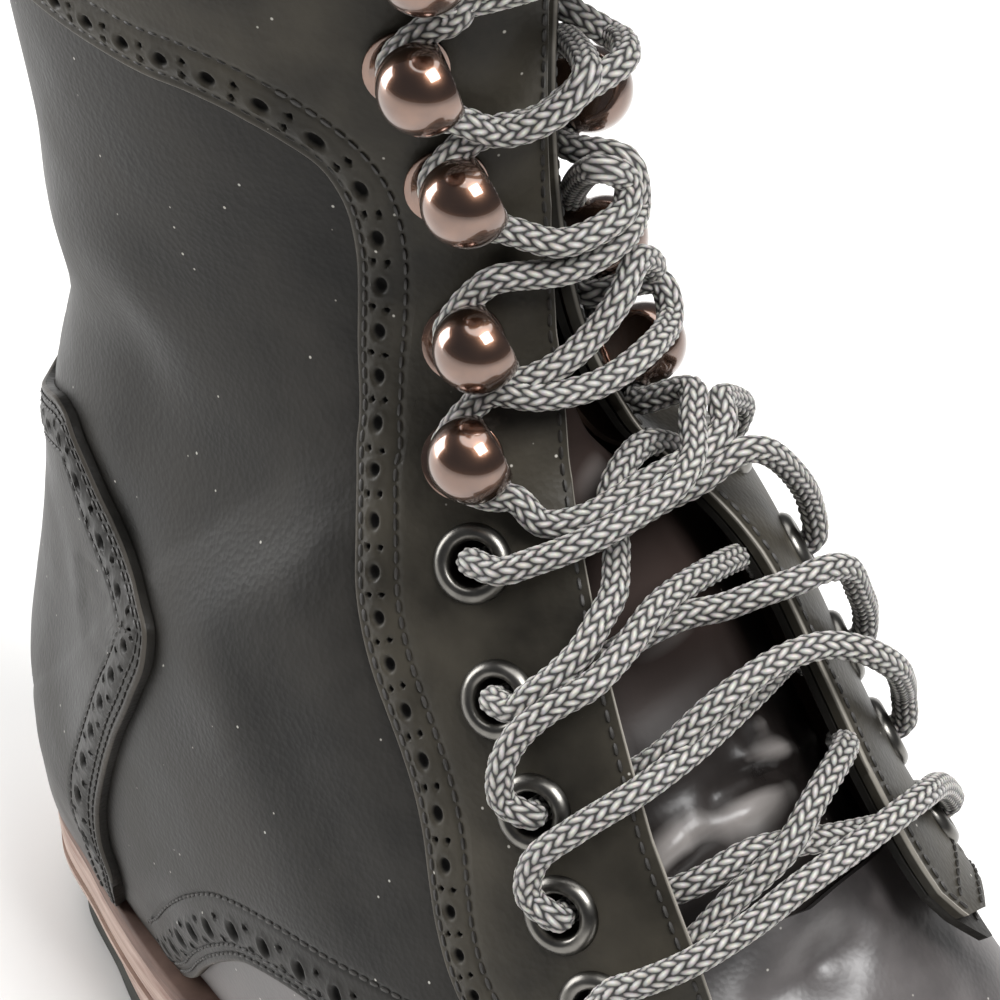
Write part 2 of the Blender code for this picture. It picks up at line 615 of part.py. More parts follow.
def hooks(side, side_name, panel):
    """Hooks: a riveted foot, a neck on it and a dome that overhangs away from the throat."""
    for number, (station, from_top) in enumerate(HOOKS, start=1):
        place = seat_matrix(*landed(seat(station, side, from_top * MM, 0.0), panel))
        place = place @ Matrix.Translation((0, 0, HOOK_GAP))
        foot = post(HOOK_FOOT, HOOK_FOOT * 0.9, HOOK_FOOT_HEIGHT, 0.0, place)
        neck = post(HOOK_NECK, HOOK_NECK * 1.1, HOOK_RISE - HOOK_NECK_START, HOOK_NECK_START, place)
        hood = dome(place @ Matrix.Translation((-HOOK_OVERHANG, 0, HOOK_RISE)))
        joined(f"hook_{side_name}_{number}", [foot, neck, hood], "antique_copper")


def cord_mesh(points):
    """A round cord along a smooth curve through the points."""
    points = np.array(points)
    knots = np.concatenate([[0], np.cumsum(np.linalg.norm(np.diff(points, axis=0), axis=1))])
    count = max(6, int(knots[-1] / (2.6 * 2 * LACE_RADIUS)) + 1)
    places = np.linspace(0, knots[-1], count)
    route = np.stack([smooth(knots, points[:, axis], places) for axis in range(3)], axis=1)
    curve = bpy.data.curves.new("cord", "CURVE")
    curve.dimensions = "3D"
    curve.bevel_depth = LACE_RADIUS
    curve.bevel_resolution = 2
    curve.use_fill_caps = True
    spline = curve.splines.new("POLY")
    spline.points.add(count - 1)
    spline.points.foreach_set("co", np.concatenate([route, np.ones((count, 1))], axis=1).ravel())
    cord = bpy.data.objects.new("cord", curve)
    PARTS.objects.link(cord)
    return evaluated(cord)


def lace_point(station, across, height):
    """A place over the throat: station, distance across the top line and height above the form."""
    side = -1 if across < 0 else 1
    return on_flap([station], side, np.array([[abs(across)]]), height)[0, 0]


def beside_hook(station, reach, side, way):
    """Where a strand ends at a hook's neck: on the facing, below it for way -1 and above it for way 1."""
    point, normal, to_throat = seat(station, side, reach, LAYER_GAP + OVERLAY_WALL + LACE_GAP + LACE_RADIUS)
    along = normal.cross(to_throat)
    if along.z < 0:
        along.negate()
    return np.array(point + along * way * (HOOK_FOOT + LACE_RADIUS + LACE_GAP))


def under_flap(station, slope, side, reach):
    """Where a strand comes up through the throat: from under the flap, short of the eyelet, past its edge."""
    below = -QUARTER_WALL - 2.4 * LACE_GAP - LACE_RADIUS
    gap = edge(THROAT_EDGE, [station])[0]
    stops = (reach - EYELET_HOLE - 2 * LACE_RADIUS, gap + LACE_RADIUS, gap - 2 * LACE_RADIUS)
    return [lace_point(station + slope * (reach - stop), side * stop, below) for stop in stops]


def lace():
    """One lace: a bar at the lowest eyelets, then crossings up to the top hooks, each a joined solid."""
    levels = [(station, reach * MM) for station, reach in EYELETS + HOOKS]
    on_deck = LAYER_GAP + OVERLAY_WALL + EYELET_CROWN + EYELET_GAP + LACE_GAP + LACE_RADIUS
    on_facing = LAYER_GAP + OVERLAY_WALL + LACE_GAP + LACE_RADIUS
    over_throat = 0.002
    first, reach = levels[0]
    bar = [lace_point(first, share * reach, on_deck + rise * MM) for share, rise in
           ((-1, 0), (-0.7, 1), (-0.35, 2), (0.001, 2), (0.35, 2), (0.7, 1), (1, 0))]
    joined("lace_bar", [cord_mesh(bar)], "grey_cord")
    for number in range(len(levels) - 1):
        low, low_reach = levels[number]
        high, high_reach = levels[number + 1]
        span = high - low
        slope = 0.25 * span / low_reach
        strands = []
        for side in (-1, 1):
            if number == 0:
                begin = under_flap(low, slope, side, low_reach)
            elif number < len(EYELETS):
                begin = [lace_point(low, side * low_reach, on_deck),
                         lace_point(low + 0.2 * span, side * low_reach * 0.7, on_deck)]
            else:
                begin = [beside_hook(low, low_reach, side, 1),
                         lace_point(low + 0.4 * span, side * low_reach * 0.5, on_facing)]
            if number + 1 < len(EYELETS):
                end = under_flap(high, -slope, -side, high_reach)[::-1]
                height = over_throat
            else:
                end = [lace_point(high - 0.4 * span, -side * high_reach * 0.5, on_facing),
                       beside_hook(high, high_reach, -side, -1)]
                height = on_facing + LACE_GAP
            over = 0.6 * LACE_RADIUS * (side > 0)
            middle = [lace_point(low + 0.5 * span, side * WELD, height + over)]
            strands.append(cord_mesh(begin + middle + end))
        joined(f"lace_crossing_{number + 1}", strands, "grey_cord")


for existing in list(bpy.data.objects):
    bpy.data.objects.remove(existing, do_unlink=True)
PARTS = bpy.data.collections.new("ankle_boot")
CUTTERS = bpy.data.collections.new("cutters")
for group in (PARTS, CUTTERS):
    bpy.context.scene.collection.children.link(group)

sole()
upper()
heel_counter()
tongue()
for boot_side, boot_side_name in ((-1, "lateral"), (1, "medial")):
    boot_quarter = quarter(f"quarter_{boot_side_name}", boot_side)
    boot_facing = facing(f"facing_{boot_side_name}", boot_side)
    hooks(boot_side, boot_side_name, boot_facing)
    eyelets(boot_side, boot_side_name, [boot_quarter, boot_facing])
lace()
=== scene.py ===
"""Looks of a lace-up ankle boot with open flaps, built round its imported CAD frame.

Metres, +Z up, toe along +X. The photographed outer (lateral) side is at -Y. A place on the boot is a station
(0 toe tip, 9.4 heel back, 14 collar), a side (-1 lateral, 1 medial) and millimetres from the top line.
"""
import math

import bpy
import numpy as np
from mathutils import Matrix


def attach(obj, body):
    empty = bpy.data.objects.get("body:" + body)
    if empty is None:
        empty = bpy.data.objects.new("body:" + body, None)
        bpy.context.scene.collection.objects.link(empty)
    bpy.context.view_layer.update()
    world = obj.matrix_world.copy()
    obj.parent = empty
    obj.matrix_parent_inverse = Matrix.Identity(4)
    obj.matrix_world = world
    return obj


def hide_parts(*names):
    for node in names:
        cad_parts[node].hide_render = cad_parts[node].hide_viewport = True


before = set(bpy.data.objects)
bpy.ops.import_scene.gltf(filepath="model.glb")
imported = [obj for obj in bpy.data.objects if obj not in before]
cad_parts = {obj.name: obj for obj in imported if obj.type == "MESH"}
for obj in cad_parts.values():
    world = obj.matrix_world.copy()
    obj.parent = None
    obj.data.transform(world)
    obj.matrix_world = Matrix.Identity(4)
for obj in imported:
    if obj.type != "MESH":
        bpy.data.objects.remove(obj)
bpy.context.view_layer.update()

# The view: a close-up from in front of the outer ankle and above it, with a long lens.
# Collar and toe run out of the frame, as in the photograph.
CAMERA_PLACE = (0.26951, -0.17642, 0.34341)
CAMERA_AZIMUTH, CAMERA_ELEVATION, CAMERA_ROLL = np.radians((49.92, 39.11, 2.93))
CAMERA_LENS = 102.5


def point_camera():
    """A camera whose axes come from its azimuth and elevation, then turned about its own line of sight."""
    back = np.array([math.sin(CAMERA_AZIMUTH) * math.cos(CAMERA_ELEVATION),
                     -math.cos(CAMERA_AZIMUTH) * math.cos(CAMERA_ELEVATION), math.sin(CAMERA_ELEVATION)])
    right = np.array([math.cos(CAMERA_AZIMUTH), math.sin(CAMERA_AZIMUTH), 0])
    up = np.cross(back, right)
    turned_right = math.cos(CAMERA_ROLL) * right + math.sin(CAMERA_ROLL) * up
    turned_up = math.cos(CAMERA_ROLL) * up - math.sin(CAMERA_ROLL) * right
    data = bpy.data.cameras.new("camera")
    data.lens = CAMERA_LENS
    data.sensor_width = 36
    camera = bpy.data.objects.new("camera", data)
    bpy.context.scene.collection.objects.link(camera)
    placed = np.eye(4)
    placed[:3] = np.stack([turned_right, turned_up, back, CAMERA_PLACE], axis=1)
    camera.matrix_world = Matrix(placed.tolist())
    bpy.context.scene.camera = camera


point_camera()

# The studio: a white floor without a horizon under a broad soft ceiling light, a lamp over the toe, and a low
# window-like light from the outer heel side that lays the grey sheen on the leather.
FLOOR_SIZE = 8.0
FLOOR_COLOUR, FLOOR_ROUGHNESS = "f1f0ee", 0.9
# Name, kind, place, target, strength, and size in metres or spread in radians
LIGHTS = (("window", "AREA", (-1.05, -0.62, 0.32), (0.0, 0.0, 0.12), 13.0, 0.7),
          ("ceiling", "SUN", (-0.12, 0.12, 1.0), (0.0, 0.0, 0.0), 2.3, math.radians(60)),
          ("overhead", "AREA", (0.62, 0.06, 1.1), (0.08, 0.0, 0.10), 14.0, 0.5))
ROOM_COLOUR = "d9dbe0"
ROOM_STRENGTH = 0.2


def linear(code):
    """An sRGB hex colour as linear red, green, blue and alpha: the sRGB curve undone channel by channel."""
    values = np.array([int(code[i:i + 2], 16) for i in (0, 2, 4)]) / 255
    values = np.where(values <= 0.04045, values / 12.92, ((values + 0.055) / 1.055) ** 2.4)
    return (*values.tolist(), 1.0)


def set_inputs(tree, node, inputs):
    """Gives each named input of a node a constant or another node's output."""
    for socket, value in inputs.items():
        if isinstance(value, bpy.types.NodeSocket):
            tree.links.new(value, node.inputs[socket])
        else:
            node.inputs[socket].default_value = value


def add_node(tree, kind, inputs=None, **settings):
    """A node of one kind with its settings and inputs."""
    node = tree.nodes.new(kind)
    for name, value in settings.items():
        setattr(node, name, value)
    set_inputs(tree, node, inputs or {})
    return node


def new_material(name):
    """An empty material with its shader, and its node tree."""
    material = bpy.data.materials.new(name)
    material.use_nodes = True
    return material, material.node_tree, material.node_tree.nodes["Principled BSDF"]


def studio():
    """Floor, lights and room colour."""
    half = FLOOR_SIZE / 2
    mesh = bpy.data.meshes.new("floor")
    corners = [(-half, -half, 0), (half, -half, 0), (half, half, 0), (-half, half, 0)]
    mesh.from_pydata(corners, [], [(0, 1, 2, 3)])
    material, _, shader = new_material("white_paper")
    shader.inputs["Base Color"].default_value = linear(FLOOR_COLOUR)
    shader.inputs["Roughness"].default_value = FLOOR_ROUGHNESS
    mesh.materials.append(material)
    floor = bpy.data.objects.new("floor", mesh)
    bpy.context.scene.collection.objects.link(floor)
    for name, kind, place, target, strength, size in LIGHTS:
        data = bpy.data.lights.new(name, kind)
        data.energy = strength
        if kind == "AREA":
            data.size = size
        else:
            data.angle = size
        light = bpy.data.objects.new(name, data)
        away = np.array(place) - np.array(target)
        away /= np.linalg.norm(away)
        right = np.cross((0, 0, 1), away)
        right /= np.linalg.norm(right)
        placed = np.eye(4)
        placed[:3] = np.stack([right, np.cross(away, right), away, place], axis=1)
        light.matrix_world = Matrix(placed.tolist())
        bpy.context.scene.collection.objects.link(light)
    world = bpy.data.worlds.new("room")
    world.use_nodes = True
    background = world.node_tree.nodes["Background"]
    background.inputs["Color"].default_value = linear(ROOM_COLOUR)
    background.inputs["Strength"].default_value = ROOM_STRENGTH
    bpy.context.scene.world = world
    bpy.context.scene.view_settings.view_transform = "Standard"


studio()

# The last: the wooden form that the boot is pulled over, which gives every layer of leather its shape. A fan
# of sections runs from the toe tip over the instep to the collar. Ends are in percent of last length and
# shaft height, half widths and middle in percent of ball width, the widest place in percent of the way up.
LAST_LENGTH, BALL_WIDTH, SHAFT_HEIGHT, HEEL_MIDDLE = 0.271, 0.0925, 0.2175, 0.029
HEEL_BACK, COLLAR, VAMP_END = 9.4, 14.0, 4.8
SECTION_COLUMNS = ("station", "bottom_x", "bottom_z", "top_x", "top_z", "feather", "lateral", "medial",
                   "middle", "lateral_widest", "medial_widest", "medial_power")
SECTIONS = np.array([
    (0.00, 100.0, 9.0, 100.0, 9.4, 1.0, 1.2, 1.2, 13.3, 45, 45, 205),
    (0.40, 98.9, 8.7, 98.2, 16.2, 15.4, 15.9, 15.9, 13.3, 35, 35, 205),
    (0.80, 96.5, 8.2, 95.4, 19.7, 25.6, 26.7, 26.7, 12.3, 33, 33, 205),
    (1.30, 91.9, 7.4, 90.5, 22.5, 35.9, 37.4, 36.4, 10.3, 30, 30, 205),
    (2.00, 84.2, 6.1, 82.1, 24.9, 44.1, 46.7, 44.6, 7.2, 28, 28, 205),
    (3.00, 71.9, 5.0, 71.6, 28.8, 47.7, 51.3, 48.2, 3.1, 28, 28, 205),
    (4.00, 60.4, 5.8, 63.9, 34.9, 43.1, 47.7, 43.6, 1.0, 33, 33, 205),
    (5.00, 48.4, 8.2, 56.8, 43.7, 36.4, 43.1, 40.0, 0.0, 38, 38, 205),
    (6.00, 36.5, 10.9, 50.4, 52.0, 33.8, 41.5, 39.5, 0.0, 42, 42, 205),
    (7.00, 24.6, 12.2, 44.6, 59.4, 33.8, 42.1, 41.0, 0.0, 46, 46, 205),
    (8.00, 12.6, 12.7, 40.7, 65.5, 32.3, 41.0, 40.5, 0.0, 48, 47, 195),
    (8.60, 6.0, 12.8, 39.3, 68.6, 28.2, 39.5, 37.4, 0.0, 47, 44, 175),
    (9.00, 2.3, 13.1, 38.4, 70.7, 19.5, 37.4, 33.4, 0.0, 46, 41, 167),
    (9.25, 0.5, 13.2, 37.8, 72.3, 9.7, 36.1, 30.5, 0.0, 45, 40, 163),
    (9.40, -0.2, 13.5, 37.6, 73.1, 0.0, 35.4, 28.8, 0.0, 45, 39, 161),
    (10.0, -2.0, 25.3, 36.7, 76.9, 0.0, 32.3, 24.0, 0.0, 45, 37, 155),
    (11.0, 1.1, 42.4, 36.1, 81.7, 0.0, 30.8, 20.8, 0.0, 46, 36, 151),
    (12.0, 3.7, 59.4, 35.8, 87.3, 0.0, 32.8, 20.4, 0.0, 47, 36, 149),
    (13.0, 2.1, 75.8, 35.8, 93.7, 0.0, 35.4, 21.2, 0.0, 47, 36, 149),
    (14.0, 0.2, 88.5, 36.1, 100.0, 0.0, 37.9, 22.7, 0.0, 47, 37, 151),
])
BOTTOM_POWER, LATERAL_POWER = 2.2, 2.05
TABLE_STATIONS = np.linspace(0, COLLAR, 1401)
TABLE_SHARES, QUARTER_STEPS = 401, 241
# Metres between sections laid end to end, more than any is long, and the least length that is divided by
SECTIONS_APART, TINY = 10.0, 1e-12
# The feather line stays within this share of the half width; table places end just short of their last entry
FEATHER_MOST, LAST_CELL = 0.995, 1.001
SIDES = {-1: "lateral", 1: "medial"}
MM = 0.001
# The free flaps of the quarters stand off the last along the throat, most at their edge and below the ankle.
# The outer flap's front tip is sewn down. The inner one stands up and reaches further over the throat.
THROAT_EDGE = {-1: np.array([(4.9, 17.0), (6.0, 15.2), (7.0, 11.9), (8.0, 7.6), (9.0, 4.8), (10.3, 2.8),
                             (12.0, 3.2), (14.0, 4.4)]),
               1: np.array([(4.82, 17.2), (4.96, 13.8), (5.1, 11.6), (5.4, 10.8), (5.8, 9.9), (6.2, 9.7),
                            (7.0, 9.2), (8.0, 7.0), (9.0, 4.8), (10.3, 2.8), (12.0, 3.2), (14.0, 4.4)])}
FLAP_LIFT, TIP_SEWN = {-1: 6.5, 1: 4.5}, {-1: 1.0, 1: 0.0}
FLAP_DEPTH, FLAP_TOP, FLAP_FADE = 34.0, 8.2, 1.6
FLAP_TIP, TIP_LENGTH = 4.8, 0.7


def smooth(table_x, table_y, x):
    """A smooth curve through a table: cubic steps whose slopes are those of the neighbours' chord."""
    slope = np.gradient(table_y, table_x)
    index = np.clip(np.searchsorted(table_x, x) - 1, 0, len(table_x) - 2)
    width = table_x[index + 1] - table_x[index]
    t = (x - table_x[index]) / width
    start = table_y[index] * (1 + 2 * t) * (1 - t) ** 2 + table_y[index + 1] * t * t * (3 - 2 * t)
    return start + width * (slope[index] * t * (1 - t) ** 2 - slope[index + 1] * t * t * (1 - t))


def measure(name, stations, unit):
    """One column of the section table at the given stations, in metres of its driving size."""
    values = SECTIONS[:, SECTION_COLUMNS.index(name)]
    return smooth(SECTIONS[:, 0], values, np.asarray(stations, float)) * unit / 100


def half_form(side):
    """Points, outward normals and lengths of the half sections, at even shares of length from the top line.

    A half section is two superellipse quarters, from feather line to widest place and on to the top.
    """
    name = SIDES[side]
    half = measure(name, TABLE_STATIONS, BALL_WIDTH)[:, None]
    feather = np.clip(measure("feather", TABLE_STATIONS, BALL_WIDTH)[:, None], 0, half * FEATHER_MOST)
    widest = measure(name + "_widest", TABLE_STATIONS, 1.0)[:, None]
    power = LATERAL_POWER if side < 0 else measure("medial_power", TABLE_STATIONS, 1.0)[:, None]
    reach = (1 - (feather / half) ** BOTTOM_POWER) ** (1 / BOTTOM_POWER)
    first = np.arccos(np.clip(reach ** (BOTTOM_POWER / 2), 0, 1))
    step = np.linspace(0, 1, QUARTER_STEPS)[None]
    low = first + (math.pi / 2 - first) * step
    high = math.pi / 2 * step[:, 1:]
    rise = np.concatenate([widest - widest / reach * np.cos(low) ** (2 / BOTTOM_POWER),
                           widest + (1 - widest) * np.sin(high) ** (2 / power)], axis=1)
    out = np.concatenate([half * np.sin(low) ** (2 / BOTTOM_POWER),
                          half * np.clip(np.cos(high), 0, 1) ** (2 / power)], axis=1)
    bottom_x = measure("bottom_x", TABLE_STATIONS, LAST_LENGTH)[:, None]
    bottom_z = measure("bottom_z", TABLE_STATIONS, SHAFT_HEIGHT)[:, None]
    run = measure("top_x", TABLE_STATIONS, LAST_LENGTH)[:, None] - bottom_x
    climb = measure("top_z", TABLE_STATIONS, SHAFT_HEIGHT)[:, None] - bottom_z
    middle = measure("middle", TABLE_STATIONS, BALL_WIDTH)[:, None]
    section = np.stack([bottom_x + run * rise - HEEL_MIDDLE, middle + side * out,
                        bottom_z + climb * rise], axis=2)
    steps = np.linalg.norm(np.diff(section, axis=1), axis=2)
    arc = np.concatenate([np.zeros((len(steps), 1)), np.cumsum(steps, axis=1)], axis=1)
    apart = SECTIONS_APART * np.arange(len(arc))[:, None]
    wanted = (apart + arc[:, -1:] * np.linspace(1, 0, TABLE_SHARES)).ravel()
    columns = [np.interp(wanted, (apart + arc).ravel(), section[..., axis].ravel()) for axis in range(3)]
    points = np.stack(columns, axis=1).reshape(len(arc), TABLE_SHARES, 3)
    around = np.gradient(points, axis=1, edge_order=2)
    normals = np.cross(around, np.gradient(points, axis=0, edge_order=2)) * side
    normals /= np.maximum(np.linalg.norm(normals, axis=2, keepdims=True), TINY)
    return points, normals, arc[:, -1] / MM


FORM = {side: half_form(side) for side in SIDES}


def girth(station, side):
    """Length of a half section in millimetres, from the top line to the feather line or back seam."""
    return np.interp(station, TABLE_STATIONS, FORM[side][2])


def on_last(station, side, from_top, height):
    """Points on the last moved outwards by height: the tables read between their four nearest entries."""
    points, normals, _ = FORM[side]
    station, from_top = np.broadcast_arrays(np.asarray(station, float), np.asarray(from_top, float))
    row = np.clip(station / TABLE_STATIONS[1], 0, len(TABLE_STATIONS) - LAST_CELL)
    column = np.clip(from_top / girth(station, side), 0, 1) * (TABLE_SHARES - LAST_CELL)
    i = row.astype(int)
    j = column.astype(int)
    down = (row - i)[..., None]
    across = (column - j)[..., None]

    def between(table):
        above = table[i, j] * (1 - across) + table[i, j + 1] * across
        below = table[i + 1, j] * (1 - across) + table[i + 1, j + 1] * across
        return above * (1 - down) + below * down

    away = between(normals)
    away /= np.maximum(np.linalg.norm(away, axis=-1, keepdims=True), TINY)
    return between(points) + away * np.broadcast_to(height, station.shape)[..., None] * MM


def eased(share):
    """A share from 0 to 1 that starts and stops gently."""
    share = np.clip(share, 0, 1)
    return share * share * (3 - 2 * share)


def flap_lift(station, side, from_top):
    """How far a free flap stands off the last, in millimetres."""
    sewn = TIP_SEWN[side] * eased(1 - (station - FLAP_TIP) / TIP_LENGTH)
    rise = eased((FLAP_TOP - station) / FLAP_FADE) * (1 - sewn)
    gap = np.interp(station, *THROAT_EDGE[side].T)
    inward = np.clip(1 - (from_top - gap) / FLAP_DEPTH, 0, 1)
    return FLAP_LIFT[side] * rise * inward ** 2


# Folds that wear has pressed into the leather, shared by all its layers, with the bulge over the ball of the
# foot and the hollow where the lacing pulls in the inner side of the shaft. Each is a side, a line between
# two places (station, millimetres from top), a half width and a rise, in millimetres.
WORN_FOLDS = (
    (-1, (11.6, 112.0), (10.9, 78.0), 7.0, -1.3), (-1, (12.2, 112.0), (11.5, 74.0), 8.0, 0.9),
    (-1, (10.9, 116.0), (10.3, 90.0), 6.0, 0.8), (-1, (10.2, 70.0), (9.2, 52.0), 9.0, -0.7),
    (-1, (9.76, 108.5), (9.60, 99.5), 1.2, -0.5), (-1, (9.70, 110.0), (9.44, 97.8), 1.2, -0.5),
    (-1, (9.62, 111.0), (9.20, 96.5), 1.3, -0.6), (-1, (9.55, 112.0), (9.06, 97.2), 1.3, -0.5),
    (-1, (9.38, 111.0), (8.98, 100.2), 1.4, -0.4), (-1, (9.18, 78.0), (8.08, 68.0), 7.0, 0.9),
    (-1, (8.6, 60.0), (7.9, 46.0), 9.0, 0.5), (-1, (7.4, 58.0), (6.7, 56.0), 8.0, -0.6),
    (1, (4.75, 36.0), (3.6, 40.0), 20.0, 4.8), (1, (11.6, 84.0), (10.9, 56.0), 7.0, -1.1),
    (1, (12.2, 84.0), (11.5, 54.0), 8.0, 0.8), (1, (10.2, 66.0), (9.2, 50.0), 9.0, -0.7),
    (1, (8.6, 60.0), (7.9, 46.0), 9.0, 0.6), (1, (8.5, 13.0), (14.0, 14.5), 11.0, -6.5),
    (1, (5.03, 3.5), (4.98, 0.0), 3.4, -1.2), (-1, (4.98, 0.0), (4.98, 9.0), 3.4, -1.6),
    (1, (5.26, 1.0), (5.04, 8.0), 3.6, 0.9), (-1, (5.25, 10.0), (5.22, 16.0), 3.6, -0.9),
    (1, (4.72, 2.0), (4.66, 14.0), 4.0, 0.7),
)
# The outer side of the heel is flatter than the last: height over the floor and depth in millimetres
HEEL_FLAT = np.array([(20, 1.2), (31, 1.2), (40, 0.8), (49, 0.2), (54, 0.7), (62, 2.0), (71, 3.2),
                      (78, 3.5), (89, 3.0), (100, 1.8), (110, 1.2), (120, 1.1), (140, 0.6), (165, 0.0),
                      (220, 0.0)])
FLAT_FRONT, FLAT_BACK = 0.035, -0.006
FLAT_MIDDLE, FLAT_SIDE = -0.002, -0.014


def worn(points):
    """Height of the worn folds in millimetres: a bell-shaped cross-section about each line, added up.

    On the outer side the flattened heel is taken off, faded to the front and to the back seam.
    """
    back = eased((FLAT_FRONT - points[..., 0]) / (FLAT_FRONT - FLAT_BACK))
    outer = eased((FLAT_MIDDLE - points[..., 1]) / (FLAT_MIDDLE - FLAT_SIDE))
    height = -smooth(HEEL_FLAT[:, 0], HEEL_FLAT[:, 1], points[..., 2] / MM) * back * outer
    for side, start, end, width, rise in WORN_FOLDS:
        one = on_last(start[0], side, start[1], 0)
        two = on_last(end[0], side, end[1], 0)
        span = two - one
        share = np.clip(((points - one) @ span) / (span @ span), 0, 1)
        gap = np.linalg.norm(points - one - share[..., None] * span, axis=-1) / MM
        height += rise * np.exp(-(gap / width) ** 2)
    return height


def on_leather(station, side, from_top, height, flap=True):
    """Points of a leather layer at a height over the last, with the worn folds and the flap's lift."""
    raised = height + worn(on_last(station, side, from_top, 0))
    if flap:
        raised = raised + flap_lift(station, side, from_top)
    return on_last(station, side, from_top, raised)


# Black leather: chrome-tanned calf, dyed through and polished, worn grey where light rakes across it.
# Fine pores 0.8 mm apart (real ones are 0.2 mm, drawn coarser to show), cloudy wax and a few dust specks.
# The darkest tone is painted shade inside the punched holes.
LEATHER_DARK, LEATHER_WORN, LEATHER_BARE, HOLE_SHADE, DUST = "151412", "2c2a27", "6b655d", "0b0a09", "c9c5bc"
# The cut rim's light tone is partly the bared cut edge and partly a painted highlight along it.
RIM_TONE_AND_HIGHLIGHT = "98938a"
PORE_SIZE, CLOUD_SIZE, DUST_SPACING = 0.0008, 0.014, 0.0042
PORE_DEPTH, CLOUD_RANGE, ROUGH_SPREAD = 0.00025, (0.3, 0.7), 0.07
DUST_REACH, DUST_STRENGTH = (0.03, 0.055), 0.8
# Rubbed lip, and light cut rim of an edge with a painted highlight along it: reach in millimetres and strength
LIP_REACH, LIP_STRENGTH, CUT_REACH, CUT_STRENGTH = (0.1, 0.75), 0.75, (0.15, 0.45), 0.9
HOLE_FADE, HOLE_ROUGH = (0.75, 1.15), 0.9
# Dark brown above a height, over a fade in metres, and fold heights in millimetres that take a painted
# highlight
BROWN_FADE, BROWN_ROUGH, CROWN_REACH, CROWN_STRENGTH = 0.006, 0.85, (0.5, 1.7), 0.85


def punched(tree, along, distance, pitch, phase, middle, half_length, half_width):
    """A row of oval holes as a mask, from the place along and across the row in units of the hole."""
    turn = add_node(tree, "ShaderNodeMath", {0: along, 1: 1 / pitch, 2: phase}, operation="MULTIPLY_ADD")
    part = add_node(tree, "ShaderNodeMath", {0: turn.outputs[0]}, operation="FRACT")
    length = add_node(tree, "ShaderNodeMath", {0: part.outputs[0], 1: pitch / half_length,
                                               2: -0.5 * pitch / half_length}, operation="MULTIPLY_ADD")
    width = add_node(tree, "ShaderNodeMath", {0: distance, 1: 1 / half_width, 2: -middle / half_width},
                     operation="MULTIPLY_ADD")
    place = add_node(tree, "ShaderNodeCombineXYZ", {0: length.outputs[0], 1: width.outputs[0]})
    radius = add_node(tree, "ShaderNodeVectorMath", {0: place.outputs[0]}, operation="LENGTH")
    fade = {"Value": radius.outputs["Value"], "From Min": HOLE_FADE[0], "From Max": HOLE_FADE[1],
            "To Min": 1.0, "To Max": 0.0}
    return add_node(tree, "ShaderNodeMapRange", fade).outputs["Result"]


